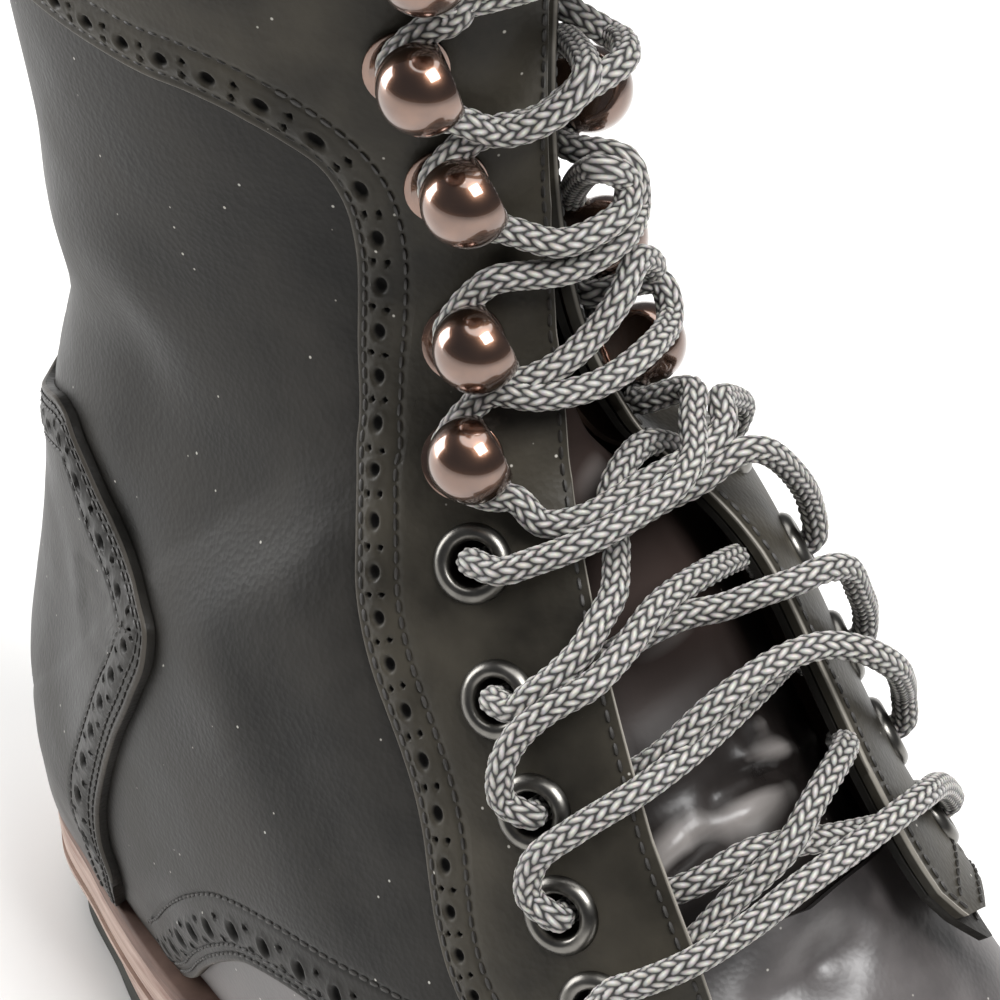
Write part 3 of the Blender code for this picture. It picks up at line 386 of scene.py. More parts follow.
def black_leather(name, holes=(), tones=(LEATHER_DARK, LEATHER_WORN), rough=0.42, gloss=0.15, grain=0.15,
                  brown_above=None, crowns=None):
    """Polished calf: cloudy dark grey, pore bump, dust, and punched holes read from the seam attribute.

    Above one height the colour turns dark brown and matt. Crowns are a painted highlight, a lighter tone on
    the tops of folds, whose height is then the attribute's first value.
    """
    material, tree, shader = new_material(name)
    place = add_node(tree, "ShaderNodeTexCoord").outputs["Object"]
    cloud = add_node(tree, "ShaderNodeTexNoise", {"Vector": place, "Scale": 1 / CLOUD_SIZE, "Detail": 5.0})
    pores = add_node(tree, "ShaderNodeTexVoronoi", {"Vector": place, "Scale": 1 / PORE_SIZE})
    uneven = add_node(tree, "ShaderNodeTexNoise", {"Vector": place, "Scale": 0.6 / PORE_SIZE, "Detail": 3.0})
    dust = add_node(tree, "ShaderNodeTexVoronoi", {"Vector": place, "Scale": 1 / DUST_SPACING})
    clouded = {"Value": cloud.outputs["Fac"], "From Min": CLOUD_RANGE[0], "From Max": CLOUD_RANGE[1]}
    patches = add_node(tree, "ShaderNodeMapRange", clouded)
    colour = add_node(tree, "ShaderNodeMix", {"Factor": patches.outputs["Result"], "A": linear(tones[0]),
                                              "B": linear(tones[1])}, data_type="RGBA").outputs["Result"]
    matt = add_node(tree, "ShaderNodeMapRange", {**clouded, "To Min": rough - ROUGH_SPREAD,
                                                 "To Max": rough + ROUGH_SPREAD}).outputs["Result"]
    # Masks and tones laid over the cloudy grey, one after the other
    layers = []
    if holes or crowns:
        seam = add_node(tree, "ShaderNodeAttribute", attribute_name="seam").outputs["Vector"]
        along, distance, border = add_node(tree, "ShaderNodeSeparateXYZ", {0: seam}).outputs
    # Above a height the colour turns dark brown and matt.
    if brown_above:
        level = add_node(tree, "ShaderNodeSeparateXYZ", {0: place}).outputs["Z"]
        rubbed = add_node(tree, "ShaderNodeMapRange", {"Value": level, "From Min": brown_above - BROWN_FADE,
                                                       "From Max": brown_above + BROWN_FADE}).outputs["Result"]
        layers.append((rubbed, LINING_DARK))
        matt = add_node(tree, "ShaderNodeMix", {"Factor": rubbed, "A": matt, "B": BROWN_ROUGH}).outputs["Result"]
    # Painted highlight: a lighter tone on the tops of folds, rising with their height.
    if crowns:
        top = add_node(tree, "ShaderNodeMapRange", {"Value": along, "From Min": CROWN_REACH[0],
                                                    "From Max": CROWN_REACH[1], "To Max": CROWN_STRENGTH})
        layers.append((top.outputs["Result"], crowns))
    speck = add_node(tree, "ShaderNodeMapRange", {"Value": dust.outputs["Distance"], "From Min": DUST_REACH[0],
                                                  "From Max": DUST_REACH[1], "To Min": DUST_STRENGTH,
                                                  "To Max": 0.0})
    layers.append((speck.outputs["Result"], DUST))
    if holes:
        lip = add_node(tree, "ShaderNodeMapRange", {"Value": distance, "From Min": LIP_REACH[0],
                                                    "From Max": LIP_REACH[1], "To Min": LIP_STRENGTH,
                                                    "To Max": 0.0})
        lip = add_node(tree, "ShaderNodeMath", {0: lip.outputs["Result"], 1: cloud.outputs["Fac"]},
                       operation="MULTIPLY")
        # Painted highlight: a light line along the cut rim at the border, partly the bared cut edge.
        rim = add_node(tree, "ShaderNodeMapRange", {"Value": border, "From Min": CUT_REACH[0],
                                                    "From Max": CUT_REACH[1], "To Min": CUT_STRENGTH,
                                                    "To Max": 0.0})
        layers += [(lip.outputs[0], LEATHER_BARE), (rim.outputs["Result"], RIM_TONE_AND_HIGHLIGHT)]
    # Painted shade: the inside of each hole is dark and matt.
    for hole in holes:
        mask = punched(tree, along, distance, *hole)
        layers.append((mask, HOLE_SHADE))
        matt = add_node(tree, "ShaderNodeMix", {"Factor": mask, "A": matt, "B": HOLE_ROUGH}).outputs["Result"]
    for mask, tone in layers:
        colour = add_node(tree, "ShaderNodeMix", {"Factor": mask, "A": colour, "B": linear(tone)},
                          data_type="RGBA").outputs["Result"]
    height = add_node(tree, "ShaderNodeMath", {0: pores.outputs["Distance"], 1: uneven.outputs["Fac"]},
                      operation="ADD").outputs[0]
    bump = add_node(tree, "ShaderNodeBump", {"Height": height, "Strength": grain, "Distance": PORE_DEPTH})
    set_inputs(tree, shader, {"Base Color": colour, "Roughness": matt, "Specular IOR Level": gloss,
                              "Normal": bump.outputs["Normal"]})
    return material


# Brown lining leather: thin vegetable-tanned calf, matt and rubbed, with darker blotches.
LINING_DARK, LINING_LIGHT, LINING_CLOUD = "2a1d18", "5a4434", 1 / 90


def lining_leather():
    """Matt brown leather: two browns mixed by a cloudy noise, with a fine grain bump."""
    material, tree, shader = new_material("brown_lining_leather")
    place = add_node(tree, "ShaderNodeTexCoord").outputs["Object"]
    cloud = add_node(tree, "ShaderNodeTexNoise", {"Vector": place, "Scale": 1 / LINING_CLOUD, "Detail": 6.0,
                                                  "Roughness": 0.65})
    grain = add_node(tree, "ShaderNodeTexNoise", {"Vector": place, "Scale": 1 / PORE_SIZE, "Detail": 3.0})
    colour = add_node(tree, "ShaderNodeMix", {"Factor": cloud.outputs["Fac"], "A": linear(LINING_DARK),
                                              "B": linear(LINING_LIGHT)}, data_type="RGBA")
    bump = add_node(tree, "ShaderNodeBump", {"Height": grain.outputs["Fac"], "Strength": 0.25,
                                             "Distance": 0.0003})
    set_inputs(tree, shader, {"Base Color": colour.outputs["Result"], "Roughness": 0.62,
                              "Normal": bump.outputs["Normal"]})
    return material


# Vamp: the front of the upper, one sheet of black calf pulled over the toe and up to the flaps,
# which are sewn over its wings. Its ends lie under the flaps.
VAMP_HEIGHT, VAMP_WALL = -1.9, 1.1
VAMP_ENDS = np.array([(0.0, 7.5), (0.25, 7.35), (0.4, 7.1), (0.5, 6.6), (0.6, 5.95), (0.7, 5.6), (0.85, 5.35),
                      (1.0, 5.25)])
VAMP_ROWS, VAMP_COLUMNS = 150, 161
VAMP_START, VAMP_ROW_POWER, VAMP_SHARE_POWER, VAMP_INNER_STEP = 0.02, 1.25, 1.2, 8
# The vamp's tones are lighter than the other black calf: painted sheen where it catches the light from above.
VAMP_SHEEN_TONES = ("302d2d", "5d5857")
vamp_leather = black_leather("black_calf_vamp", tones=VAMP_SHEEN_TONES, rough=0.46, gloss=1.0, grain=0.1)
brown_leather = lining_leather()


def tube_faces(rows, ring):
    """Quads between neighbouring rings of a grid, closed round each ring."""
    row = np.arange(rows - 1)[:, None] * ring
    here = np.arange(ring)[None]
    there = (here + 1) % ring
    return np.stack([row + here, row + there, row + ring + there, row + ring + here], axis=-1).reshape(-1, 4)


def zipped(one, two):
    """Triangles between two lines of vertex numbers, the second with fewer points, as a zip closes."""
    ties = np.round(np.linspace(0, len(one) - 1, len(two))).astype(int)
    steps = np.arange(len(one) - 1)
    tie = np.clip(np.searchsorted(ties, steps, side="right") - 1, 0, len(two) - 1)
    first = np.stack([one[:-1], one[1:], two[tie]], axis=1)
    second = np.stack([two[:-1], one[ties[1:]], two[1:]], axis=1)
    return np.concatenate([first, second])


def outward(points, quads, triangles):
    """The same faces, turned round if the volume that they enclose comes out negative."""
    corners = np.concatenate([quads[:, [0, 1, 2]], quads[:, [0, 2, 3]], triangles])
    one, two, three = (points[corners[:, k]] for k in range(3))
    if (one * np.cross(two, three)).sum() < 0:
        return quads[:, ::-1], triangles[:, ::-1]
    return quads, triangles


def new_piece(name, shape, material, nodes=(), seam=None, lined=None, sharp=50):
    """A piece from points, quads and triangles, on the boot's one body.

    Seam gives each point its place along and from a worked edge; lined marks the quads that show the lining.
    """
    points, quads, triangles = shape
    mesh = bpy.data.meshes.new(name)
    mesh.vertices.add(len(points))
    mesh.vertices.foreach_set("co", points.astype(np.float32).ravel())
    mesh.loops.add(quads.size + triangles.size)
    mesh.loops.foreach_set("vertex_index", np.concatenate([quads.ravel(), triangles.ravel()]).astype(np.int32))
    mesh.polygons.add(len(quads) + len(triangles))
    starts = np.concatenate([np.arange(len(quads)) * 4, quads.size + np.arange(len(triangles)) * 3])
    mesh.polygons.foreach_set("loop_start", starts.astype(np.int32))
    mesh.polygons.foreach_set("use_smooth", np.ones(len(starts), bool))
    mesh.update(calc_edges=True)
    mesh.set_sharp_from_angle(angle=math.radians(sharp))
    if seam is not None:
        layer = mesh.attributes.new("seam", "FLOAT_VECTOR", "POINT")
        layer.data.foreach_set("vector", seam.astype(np.float32).ravel())
    mesh.materials.append(material)
    if lined is not None:
        mesh.materials.append(brown_leather)
        shows = np.concatenate([lined, np.zeros(len(triangles))])
        mesh.polygons.foreach_set("material_index", shows.astype(np.int32))
    piece = bpy.data.objects.new(name, mesh)
    bpy.context.scene.collection.objects.link(piece)
    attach(piece, "root")
    if nodes:
        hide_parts(*nodes)
    return piece


def panel_shape(outer, inner):
    """A closed panel from its outer and inner grids: rings over both faces, zipped together at both ends."""
    rows, columns = outer.shape[:2]
    ring = columns + inner.shape[1]
    points = np.concatenate([outer, inner[:, ::-1]], axis=1).reshape(-1, 3)
    ends = []
    for first in (0, (rows - 1) * ring):
        one = first + np.arange(columns)
        two = first + columns + np.arange(inner.shape[1])[::-1]
        ends.append(zipped(one, two) if first else zipped(one, two)[:, ::-1])
    return points, *outward(points, tube_faces(rows, ring), np.concatenate(ends))


def vamp_shape():
    """Rows from the toe tip to the vamp's end line, columns over the top between the feather lines."""
    across = np.linspace(-1, 1, VAMP_COLUMNS)
    row = np.linspace(0, 1, VAMP_ROWS)[:, None] ** VAMP_ROW_POWER
    grids = []
    for height in (VAMP_HEIGHT, VAMP_HEIGHT - VAMP_WALL):
        halves = []
        for side, share in ((-1, -across[across < 0]), (1, across[across >= 0])):
            share = share[None] ** VAMP_SHARE_POWER
            end = smooth(VAMP_ENDS[:, 0], VAMP_ENDS[:, 1], 1 - share)
            station = VAMP_START + (end - VAMP_START) * row
            halves.append(on_leather(station, side, share * girth(station, side), height, flap=False))
        grids.append(np.concatenate(halves, axis=1))
    return panel_shape(grids[0], grids[1][:, ::VAMP_INNER_STEP])


new_piece("vamp", vamp_shape(), vamp_leather, ["upper"])

# Lining: thin brown leather inside the whole upper, cut back along the throat.
# It is sewn to the quarters at the collar and pulled in under the insole at the bottom.
LINING_EDGE = np.array([(4.8, 0.0), (5.1, 22.0), (5.5, 31.5), (6.0, 33.0), (7.2, 30.0), (7.8, 27.0),
                        (8.3, 16.0), (8.7, 12.0), (10.3, 10.0), (14.0, 11.0)])
LINING_HEIGHT, LINING_WALL, LINING_START = -3.05, 0.65, 0.05
LINING_ROWS, LINING_COLUMNS = 140, 26


def joined(shells):
    """Several closed shells as one list of points and faces, their face numbers moved up."""
    points, quads, triangles = [], [], []
    count = 0
    for shell in shells:
        points.append(shell[0])
        quads.append(shell[1] + count)
        triangles.append(shell[2] + count)
        count += len(shell[0])
    return np.concatenate(points), np.concatenate(quads), np.concatenate(triangles)


def lining_shape():
    """Two half shells: rows follow the sections, columns run from throat or top line to feather line."""
    station = np.linspace(LINING_START, COLLAR, LINING_ROWS)[:, None]
    throat = np.where(station > VAMP_END, np.interp(station, LINING_EDGE[:, 0], LINING_EDGE[:, 1]), 0)
    shells = []
    for side in SIDES:
        share = np.linspace(0, 1, LINING_COLUMNS)[None]
        from_top = throat + (girth(station, side) - throat) * share
        outer = on_leather(station + 0 * share, side, from_top, LINING_HEIGHT, flap=False)
        inner = on_leather(station + 0 * share, side, from_top, LINING_HEIGHT - LINING_WALL, flap=False)
        shells.append(panel_shape(outer, inner))
    return joined(shells)


new_piece("lining", lining_shape(), brown_leather, ["upper"])

# Tongue: a soft flap of black calf under the throat, joined to the vamp at its lower end.
# The laces have crumpled it into deep shiny folds between the flaps.
TONGUE_EDGE = np.array([(4.2, 16.0), (5.1, 29.0), (6.0, 36.0), (7.8, 31.0), (9.0, 24.0), (14.0, 20.0)])
TONGUE_HEIGHT, TONGUE_WALL = -5.1, 1.6
TONGUE_ROWS, TONGUE_COLUMNS = 280, 84
# The crown tone is a painted highlight on the tops of the folds.
TONGUE_TONES, CROWN_HIGHLIGHT_TONE = ("1a1716", "332e2c"), "8d8885"
TONGUE_RIBS = np.array([-1, -0.75, -0.5, -0.25, -0.04, 0.25, 0.5, 0.75, 1])
# Share of its rise that a fold keeps at its ends, and the share of its length over which the ends stay so
FOLD_END, FOLD_TAIL = 0.35, 0.06
# Folds: start and end (station, millimetres across), half width and rise in millimetres
TONGUE_FOLDS = (((6.00, 3.5), (5.96, 13.5), 1.8, 1.8), ((6.14, 6.5), (6.13, 10.0), 1.3, 1.1),
                ((6.02, 19.0), (6.02, 22.7), 1.5, 1.1), ((5.74, -9.5), (5.80, 8.0), 2.8, 2.3),
                ((5.80, -19.0), (5.86, -9.0), 2.3, 2.1), ((5.89, -4.0), (5.88, 12.0), 1.6, -1.4),
                ((5.66, -16.0), (5.72, -4.0), 2.0, -1.3), ((6.20, -13.0), (6.25, 0.0), 3.0, 0.8),
                ((6.45, -12.0), (6.50, 8.0), 3.5, -0.9), ((6.70, -9.0), (6.80, 7.0), 4.0, 1.0),
                ((7.20, -8.0), (7.30, 6.0), 4.0, -0.9), ((7.70, -8.0), (7.90, 5.0), 4.0, 0.9),
                ((5.50, -10.0), (5.50, 10.0), 3.0, 0.8))


def unit_length(vectors):
    """The same directions, each of length one."""
    return vectors / np.linalg.norm(vectors, axis=-1, keepdims=True)


def run_along(points):
    """Length along a line of points, from 0 at the first."""
    return np.concatenate([[0], np.cumsum(np.linalg.norm(np.diff(points, axis=0), axis=1))])


def tongue_shape():
    """Sections of a few ribs set in under the last, joined by smooth curves, with folds pressed in."""
    station = np.linspace(TONGUE_EDGE[0, 0], COLLAR, TONGUE_ROWS)
    reach = np.interp(station, TONGUE_EDGE[:, 0], TONGUE_EDGE[:, 1])[:, None]
    across = np.linspace(-1, 1, TONGUE_COLUMNS)
    grids = []
    for height in (TONGUE_HEIGHT, TONGUE_HEIGHT - TONGUE_WALL):
        ribs = np.empty((TONGUE_ROWS, len(TONGUE_RIBS), 3))
        for side in SIDES:
            ours = TONGUE_RIBS < 0 if side < 0 else TONGUE_RIBS >= 0
            from_top = reach * np.abs(TONGUE_RIBS[ours])[None]
            ribs[:, ours] = on_leather(station[:, None] + 0 * from_top, side, from_top, height, flap=False)
        curves = [np.stack([smooth(TONGUE_RIBS, ribs[row, :, axis], across) for axis in range(3)], axis=1)
                  for row in range(TONGUE_ROWS)]
        grids.append(np.stack(curves))
    outer, inner = grids
    width = reach * across[None]
    raised = np.zeros(width.shape)
    top_line = on_last(station, -1, np.zeros(TONGUE_ROWS), TONGUE_HEIGHT)
    run = run_along(top_line) / MM
    length = run[:, None]
    for start, end, half_width, rise in TONGUE_FOLDS:
        one = np.array([np.interp(start[0], station, run), start[1]])
        span = np.array([np.interp(end[0], station, run), end[1]]) - one
        share = np.clip(((length - one[0]) * span[0] + (width - one[1]) * span[1]) / (span @ span), 0, 1)
        gap = np.hypot(length - one[0] - share * span[0], width - one[1] - share * span[1])
        strength = FOLD_END + (1 - FOLD_END) * np.sin(math.pi * np.clip(share, FOLD_TAIL, 1 - FOLD_TAIL))
        raised += rise * np.exp(-(gap / half_width) ** 2) * strength
    away = unit_length(outer - inner)
    outer = outer + away * raised[..., None] * MM
    inner = (inner + away * raised[..., None] * MM)[:, ::2]
    # The fold heights go to the seam attribute, where the material paints a highlight on the fold tops.
    crowns = np.zeros((TONGUE_ROWS, TONGUE_COLUMNS + inner.shape[1], 3))
    crowns[:, :TONGUE_COLUMNS, 0] = raised
    return panel_shape(outer, inner), crowns.reshape(-1, 3)


tongue_leather = black_leather("black_calf_tongue", tones=TONGUE_TONES, rough=0.33, gloss=0.4, grain=0.05,
                               brown_above=0.116, crowns=CROWN_HIGHLIGHT_TONE)
tongue_form, tongue_crown_highlight = tongue_shape()
new_piece("tongue", tongue_form, tongue_leather, ["tongue"], tongue_crown_highlight)

# Quarters: the two side panels of black calf, whose fronts are the free flaps of the open lacing.
# Their lower front edge is a curved wing with a row of punched holes between stitching, sewn over the vamp.
QUARTER_WALL = 1.3
# Lower edge: station, and millimetres from the bottom line
QUARTER_EDGE = np.array([(4.82, 86.0), (4.95, 80.0), (5.1, 72.0), (5.3, 63.0), (5.6, 55.5), (6.0, 50.5),
                         (6.3, 47.0), (6.6, 43.6), (6.78, 40.4), (6.88, 37.9), (6.99, 31.0), (7.06, 22.7),
                         (7.11, 10.4), (7.16, 4.0), (7.2, 0.0)])
WING_PITCH, WING_ROW, WING_STITCHES = 7.4, 5.4, (1.4, 2.8, 10.4)
WING_HOLES = ((WING_PITCH, 0.5, WING_ROW, 0.95, 1.35), (WING_PITCH, 0.0, WING_ROW - 1.7, 0.42, 0.42),
              (WING_PITCH, 0.0, WING_ROW + 1.7, 0.42, 0.42))
# Seam distance, in millimetres, of places that belong to no edge
NO_EDGE = 50.0
LINE_STEPS, BORDER_STEPS = 4000, 2000


def inner_faces(outer, inner):
    """Marks the quads of a panel's inner face, in the order of its rings."""
    place = np.arange(outer.shape[1] + inner.shape[1])
    inside = (place >= outer.shape[1]) & (place < len(place) - 1)
    return np.tile(inside, len(outer) - 1)


def read_line(wanted, length, line):
    """A line's values at wanted lengths, read between its own."""
    return np.stack([np.interp(wanted, length, column) for column in line.T], axis=1)


def even_line(table, side, count):
    """Places at even steps of real length along a smooth line through a table of places."""
    points = on_last(table[:, 0], side, table[:, 1], 0)
    knots = run_along(points)
    fine = np.linspace(0, knots[-1], LINE_STEPS)
    line = np.stack([smooth(knots, table[:, 0], fine), smooth(knots, table[:, 1], fine)], axis=1)
    line[:, 1] = np.minimum(line[:, 1], girth(line[:, 0], side))
    points = on_last(line[:, 0], side, line[:, 1], 0)
    length = run_along(points)
    wanted = np.linspace(0, length[-1], count)
    return read_line(wanted, length, line)


# Small steps of station and length that measure the surface's directions, how near they come to its borders
# in millimetres, and how often the turned directions are averaged with their neighbours
STATION_STEP, LENGTH_STEP, KEEP_INSIDE, AVERAGES = 0.01, 0.2, 0.5, 40


def step_in(edge, base, side, square):
    """Change of station and of length from the top for one millimetre in from an edge.

    The edge's direction is turned by a right angle within the surface, and solved for the surface's two
    directions; square is how far each row keeps to that rather than to the straight way to the other border.
    """
    station, from_top = edge.T
    points = on_last(station, side, from_top, 0)
    inside = np.clip(from_top, KEEP_INSIDE, girth(station, side) - KEEP_INSIDE)
    ahead, behind = (on_last(station + step, side, inside, 0) for step in (STATION_STEP, -STATION_STEP))
    by_station = (ahead - behind) / (2 * STATION_STEP)
    lower, upper = (on_last(station, side, inside + step, 0) for step in (LENGTH_STEP, -LENGTH_STEP))
    by_length = (lower - upper) / (2 * LENGTH_STEP)
    across = unit_length(np.cross(np.cross(by_station, by_length), np.gradient(points, axis=0)))
    way = on_last(base[:, 0], side, base[:, 1], 0) - points
    across *= np.sign(np.median((across * way).sum(axis=1)))
    one, two, three = ((a * b).sum(axis=1) for a, b in ((by_station, by_station), (by_station, by_length),
                                                        (by_length, by_length)))
    first = (across * by_station).sum(axis=1)
    second = (across * by_length).sum(axis=1)
    turned = np.stack([first * three - second * two, second * one - first * two], axis=1)
    turned *= MM / (one * three - two * two)[:, None]
    for _ in range(AVERAGES):
        turned[1:-1] = 0.5 * turned[1:-1] + 0.25 * (turned[:-2] + turned[2:])
    straight = (base - edge) / np.linalg.norm(way, axis=1, keepdims=True) * MM
    return turned * square[:, None] + straight * (1 - square[:, None])


# A worked edge in millimetres: the lip's rounding, the stitch grooves' depth and width, the holes' dish,
# and the raised ring round each hole (height, then radius and width in units of the hole)
LIP_ROUND, GROOVE_DEPTH, GROOVE_WIDTH, DISH_DEPTH = 0.55, 0.26, 0.5, 0.75
RING_RISE, RING_RADIUS, RING_WIDTH = 0.14, 1.5, 0.35
# Half width of the soft band, as a share of the distance of its row of holes
BAND_WIDTH = 0.45


def worked_edge(distance, along, row, stitches, holes, band_rise):
    """Height of a brogued edge in millimetres: rounded lip, stitch grooves, soft band, dished holes."""
    lip = np.clip(1 - distance / LIP_ROUND, 0, 1)
    height = -LIP_ROUND * (1 - np.sqrt(np.clip(1 - lip * lip, 0, 1)))
    height = height + band_rise * np.exp(-((distance - row) / (BAND_WIDTH * row)) ** 2)
    for place in stitches:
        height = height - GROOVE_DEPTH * np.exp(-((distance - place) / GROOVE_WIDTH) ** 2)
    for pitch, phase, middle, half_length, half_width in holes:
        part = (np.mod(along / pitch + phase, 1) - 0.5) * pitch / half_length
        radius = np.hypot(part, (distance - middle) / half_width)
        ring = RING_RISE * np.exp(-((radius - RING_RADIUS) / RING_WIDTH) ** 2)
        height = height - DISH_DEPTH * np.exp(-radius ** 4) + ring
    return height


# A worked band takes at most this share of a panel's width. Its relief comes in where the band has most of
# its reach (from a share, over a share) and past the panel's tip (from and over a length in millimetres).
BAND_MOST, RELIEF_REACH, RELIEF_TIP = 0.45, (0.6, 0.35), (6, 8)
# Place of the last column but one, how far the border is rounded down, and columns of the inner face
NEAR_BORDER, BORDER_DROP, INNER_COLUMNS = 0.988, 0.3, 12


def panel(side, edge, base, band, widest, square, far_columns, offset, wall, relief):
    """A panel between a worked edge and its other border, both lines of places with one row each.

    Columns stand square to the edge at set distances across its band, then at even shares to the border. The
    outer face lies at the offset plus the relief of its distance from the edge; the inner face a wall below.
    """
    edge_points = on_last(edge[:, 0], side, edge[:, 1], 0)
    width = np.linalg.norm(on_last(base[:, 0], side, base[:, 1], 0) - edge_points, axis=1) / MM
    widest_reach = np.broadcast_to(widest, len(edge))[:, None]
    reach = np.minimum(widest_reach, BAND_MOST * width[:, None])
    near = edge[:, None] + step_in(edge, base, side, square)[:, None] * (band / band[-1] * reach)[..., None]
    far = np.linspace(0, 1, far_columns + 1)[1:]
    far[-2:] = NEAR_BORDER, 1.0
    grid = np.concatenate([near, near[:, -1:] + (base[:, None] - near[:, -1:]) * far[None, :, None]], axis=1)
    station = grid[..., 0]
    from_top = np.clip(grid[..., 1], 0, girth(station, side))
    along = run_along(edge_points)[:, None] / MM + 0 * station
    distance = np.concatenate([band / band[-1] * reach, reach + (width[:, None] - reach) * far], axis=1)
    full = eased((reach / widest_reach - RELIEF_REACH[0]) / RELIEF_REACH[1])
    full = full * eased((along - RELIEF_TIP[0]) / RELIEF_TIP[1])
    height = offset + relief(distance, along) * full
    height[:, -1] -= BORDER_DROP
    outer = on_leather(station, side, from_top, height)
    inner_columns = np.round(np.linspace(0, station.shape[1] - 1, INNER_COLUMNS)).astype(int)
    inner = on_leather(station[:, inner_columns], side, from_top[:, inner_columns], offset - wall)
    seam = np.full((len(edge), station.shape[1] + len(inner_columns), 3), NO_EDGE)
    seam[:, :station.shape[1], 0] = along
    seam[:, :station.shape[1], 1] = np.where(full > 0.5, distance, NO_EDGE)
    seam[:, len(band):station.shape[1], 2] = (width[:, None] - reach) * (1 - far)
    seam[:, station.shape[1], 2] = wall
    return outer, inner, distance, seam.reshape(-1, 3)


def held_square(rows, first, last):
    """How far each row stands square to its edge: fully, but turned at both ends over a number of rows."""
    row = np.arange(rows)
    return eased(np.minimum(row / first, (rows - 1 - row) / last))


def line_border(side, first, last, count):
    """Places along the feather line and back seam, where the sections end."""
    station = np.linspace(first, last, count)
    return np.stack([station, girth(station, side)], axis=1)


QUARTER_BAND = np.concatenate([[0, 0.12, 0.3], np.arange(0.55, 11.6, 0.36)])
WING_ROWS, SIDE_ROWS, QUARTER_COLUMNS = 330, 110, 42
CORNER_BACK = 7.56
# The front tip stays clear of the throat edge: from this station on, by this many millimetres a station
TIP_START, TIP_GROWTH = 4.72, 15
# Rows and the share of the throat that each has reached, between the ends and the wing's last row
THROAT_ROWS, THROAT_SHARES = (180, 380), (0, 0.16, 0.34, 0.6, 1)
# Rise of the band, overrun past the wing's end and plain edge in millimetres, and rows that turn
WING_RISE, WING_OVERRUN, PLAIN_EDGE, WING_TURN = 0.3, 0.5, 0.6, 25
quarter_grids = {}


def quarter(side):
    """Rows from the front tip along wing, feather line and back seam, columns up to the throat."""
    table = QUARTER_EDGE.copy()
    clear = THROAT_EDGE[side][0, 1] + (table[:, 0] - TIP_START) * TIP_GROWTH
    table[:, 1] = np.maximum(girth(table[:, 0], side) - table[:, 1], clear)
    wing = even_line(table, side, WING_ROWS)
    edge = np.concatenate([wing, line_border(side, CORNER_BACK, COLLAR, SIDE_ROWS)])
    rows = len(edge)
    station = QUARTER_EDGE[0, 0] + (COLLAR - QUARTER_EDGE[0, 0]) * np.interp(
        np.arange(rows), [0, THROAT_ROWS[0], WING_ROWS - 1, THROAT_ROWS[1], rows - 1], THROAT_SHARES)
    base = np.stack([station, np.interp(station, *THROAT_EDGE[side].T)], axis=1)
    points = on_last(wing[:, 0], side, wing[:, 1], 0)
    wing_end = np.linalg.norm(np.diff(points, axis=0), axis=1).sum() / MM

    def relief(distance, along):
        front = np.clip(wing_end + WING_OVERRUN - along, 0, 1)
        return worked_edge(distance, along, WING_ROW, WING_STITCHES, WING_HOLES, WING_RISE) * front

    widest = np.where(np.arange(rows) < WING_ROWS, QUARTER_BAND[-1], PLAIN_EDGE)
    square = np.where(np.arange(rows) < WING_ROWS, held_square(rows, WING_TURN, 1), 0.0)
    outer, inner, distance, seam = panel(side, edge, base, QUARTER_BAND, widest, square, QUARTER_COLUMNS,
                                         0.0, QUARTER_WALL, relief)
    seam[seam[:, 0] > wing_end + WING_OVERRUN, 1] = NO_EDGE
    seam[:, 2] = NO_EDGE
    quarter_grids[side] = (outer[:WING_ROWS], distance[:WING_ROWS])
    name = "quarter_" + SIDES[side]
    return new_piece(name, panel_shape(outer, inner), quarter_leather, [name], seam,
                     inner_faces(outer, inner))


quarter_leather = black_leather("black_calf_quarter", WING_HOLES)
quarters = {side: quarter(side) for side in SIDES}

# Heel counter: a stiffened outer piece of black calf moulded round the back of the heel and sewn on the
# quarters. Its edge is brogued like the wings, with two rows of stitching at the lip and one further in.
COUNTER_OFFSET, OVERLAY_WALL = 1.8, 1.75
# Edge: station, and millimetres from the top line of the outer side
COUNTER_EDGE = np.array([(7.72, 146.0), (7.74, 140.0), (7.82, 134.0), (7.95, 130.5), (8.10, 124.8),
                         (8.24, 115.8), (8.39, 103.8), (8.53, 91.6), (8.70, 84.0), (8.86, 81.7),
                         (9.14, 82.8), (9.55, 86.7), (9.78, 90.0), (9.95, 92.8), (10.35, 96.7),
                         (10.62, 99.5), (10.80, 104.0), (10.90, 110.0), (10.98, 117.0), (11.07, 124.0),
                         (11.2, 131.0), (11.38, 137.5), (11.5, 138.5)])
COUNTER_PITCH, COUNTER_ROW, COUNTER_STITCHES = 8.2, 5.2, (1.3, 2.6, 8.6)
COUNTER_HOLES = ((COUNTER_PITCH, 0.5, COUNTER_ROW, 1.25, 0.85),
                 (COUNTER_PITCH, 0.0, COUNTER_ROW - 1.4, 0.42, 0.42),
                 (COUNTER_PITCH, 0.0, COUNTER_ROW + 1.4, 0.42, 0.42))
COUNTER_BAND = np.concatenate([[0, 0.12, 0.3], np.arange(0.55, 9.8, 0.42)])
COUNTER_ROWS, COUNTER_COLUMNS, COUNTER_TURN, COUNTER_RISE = 400, 32, 35, 0.25
counter_grids = {}


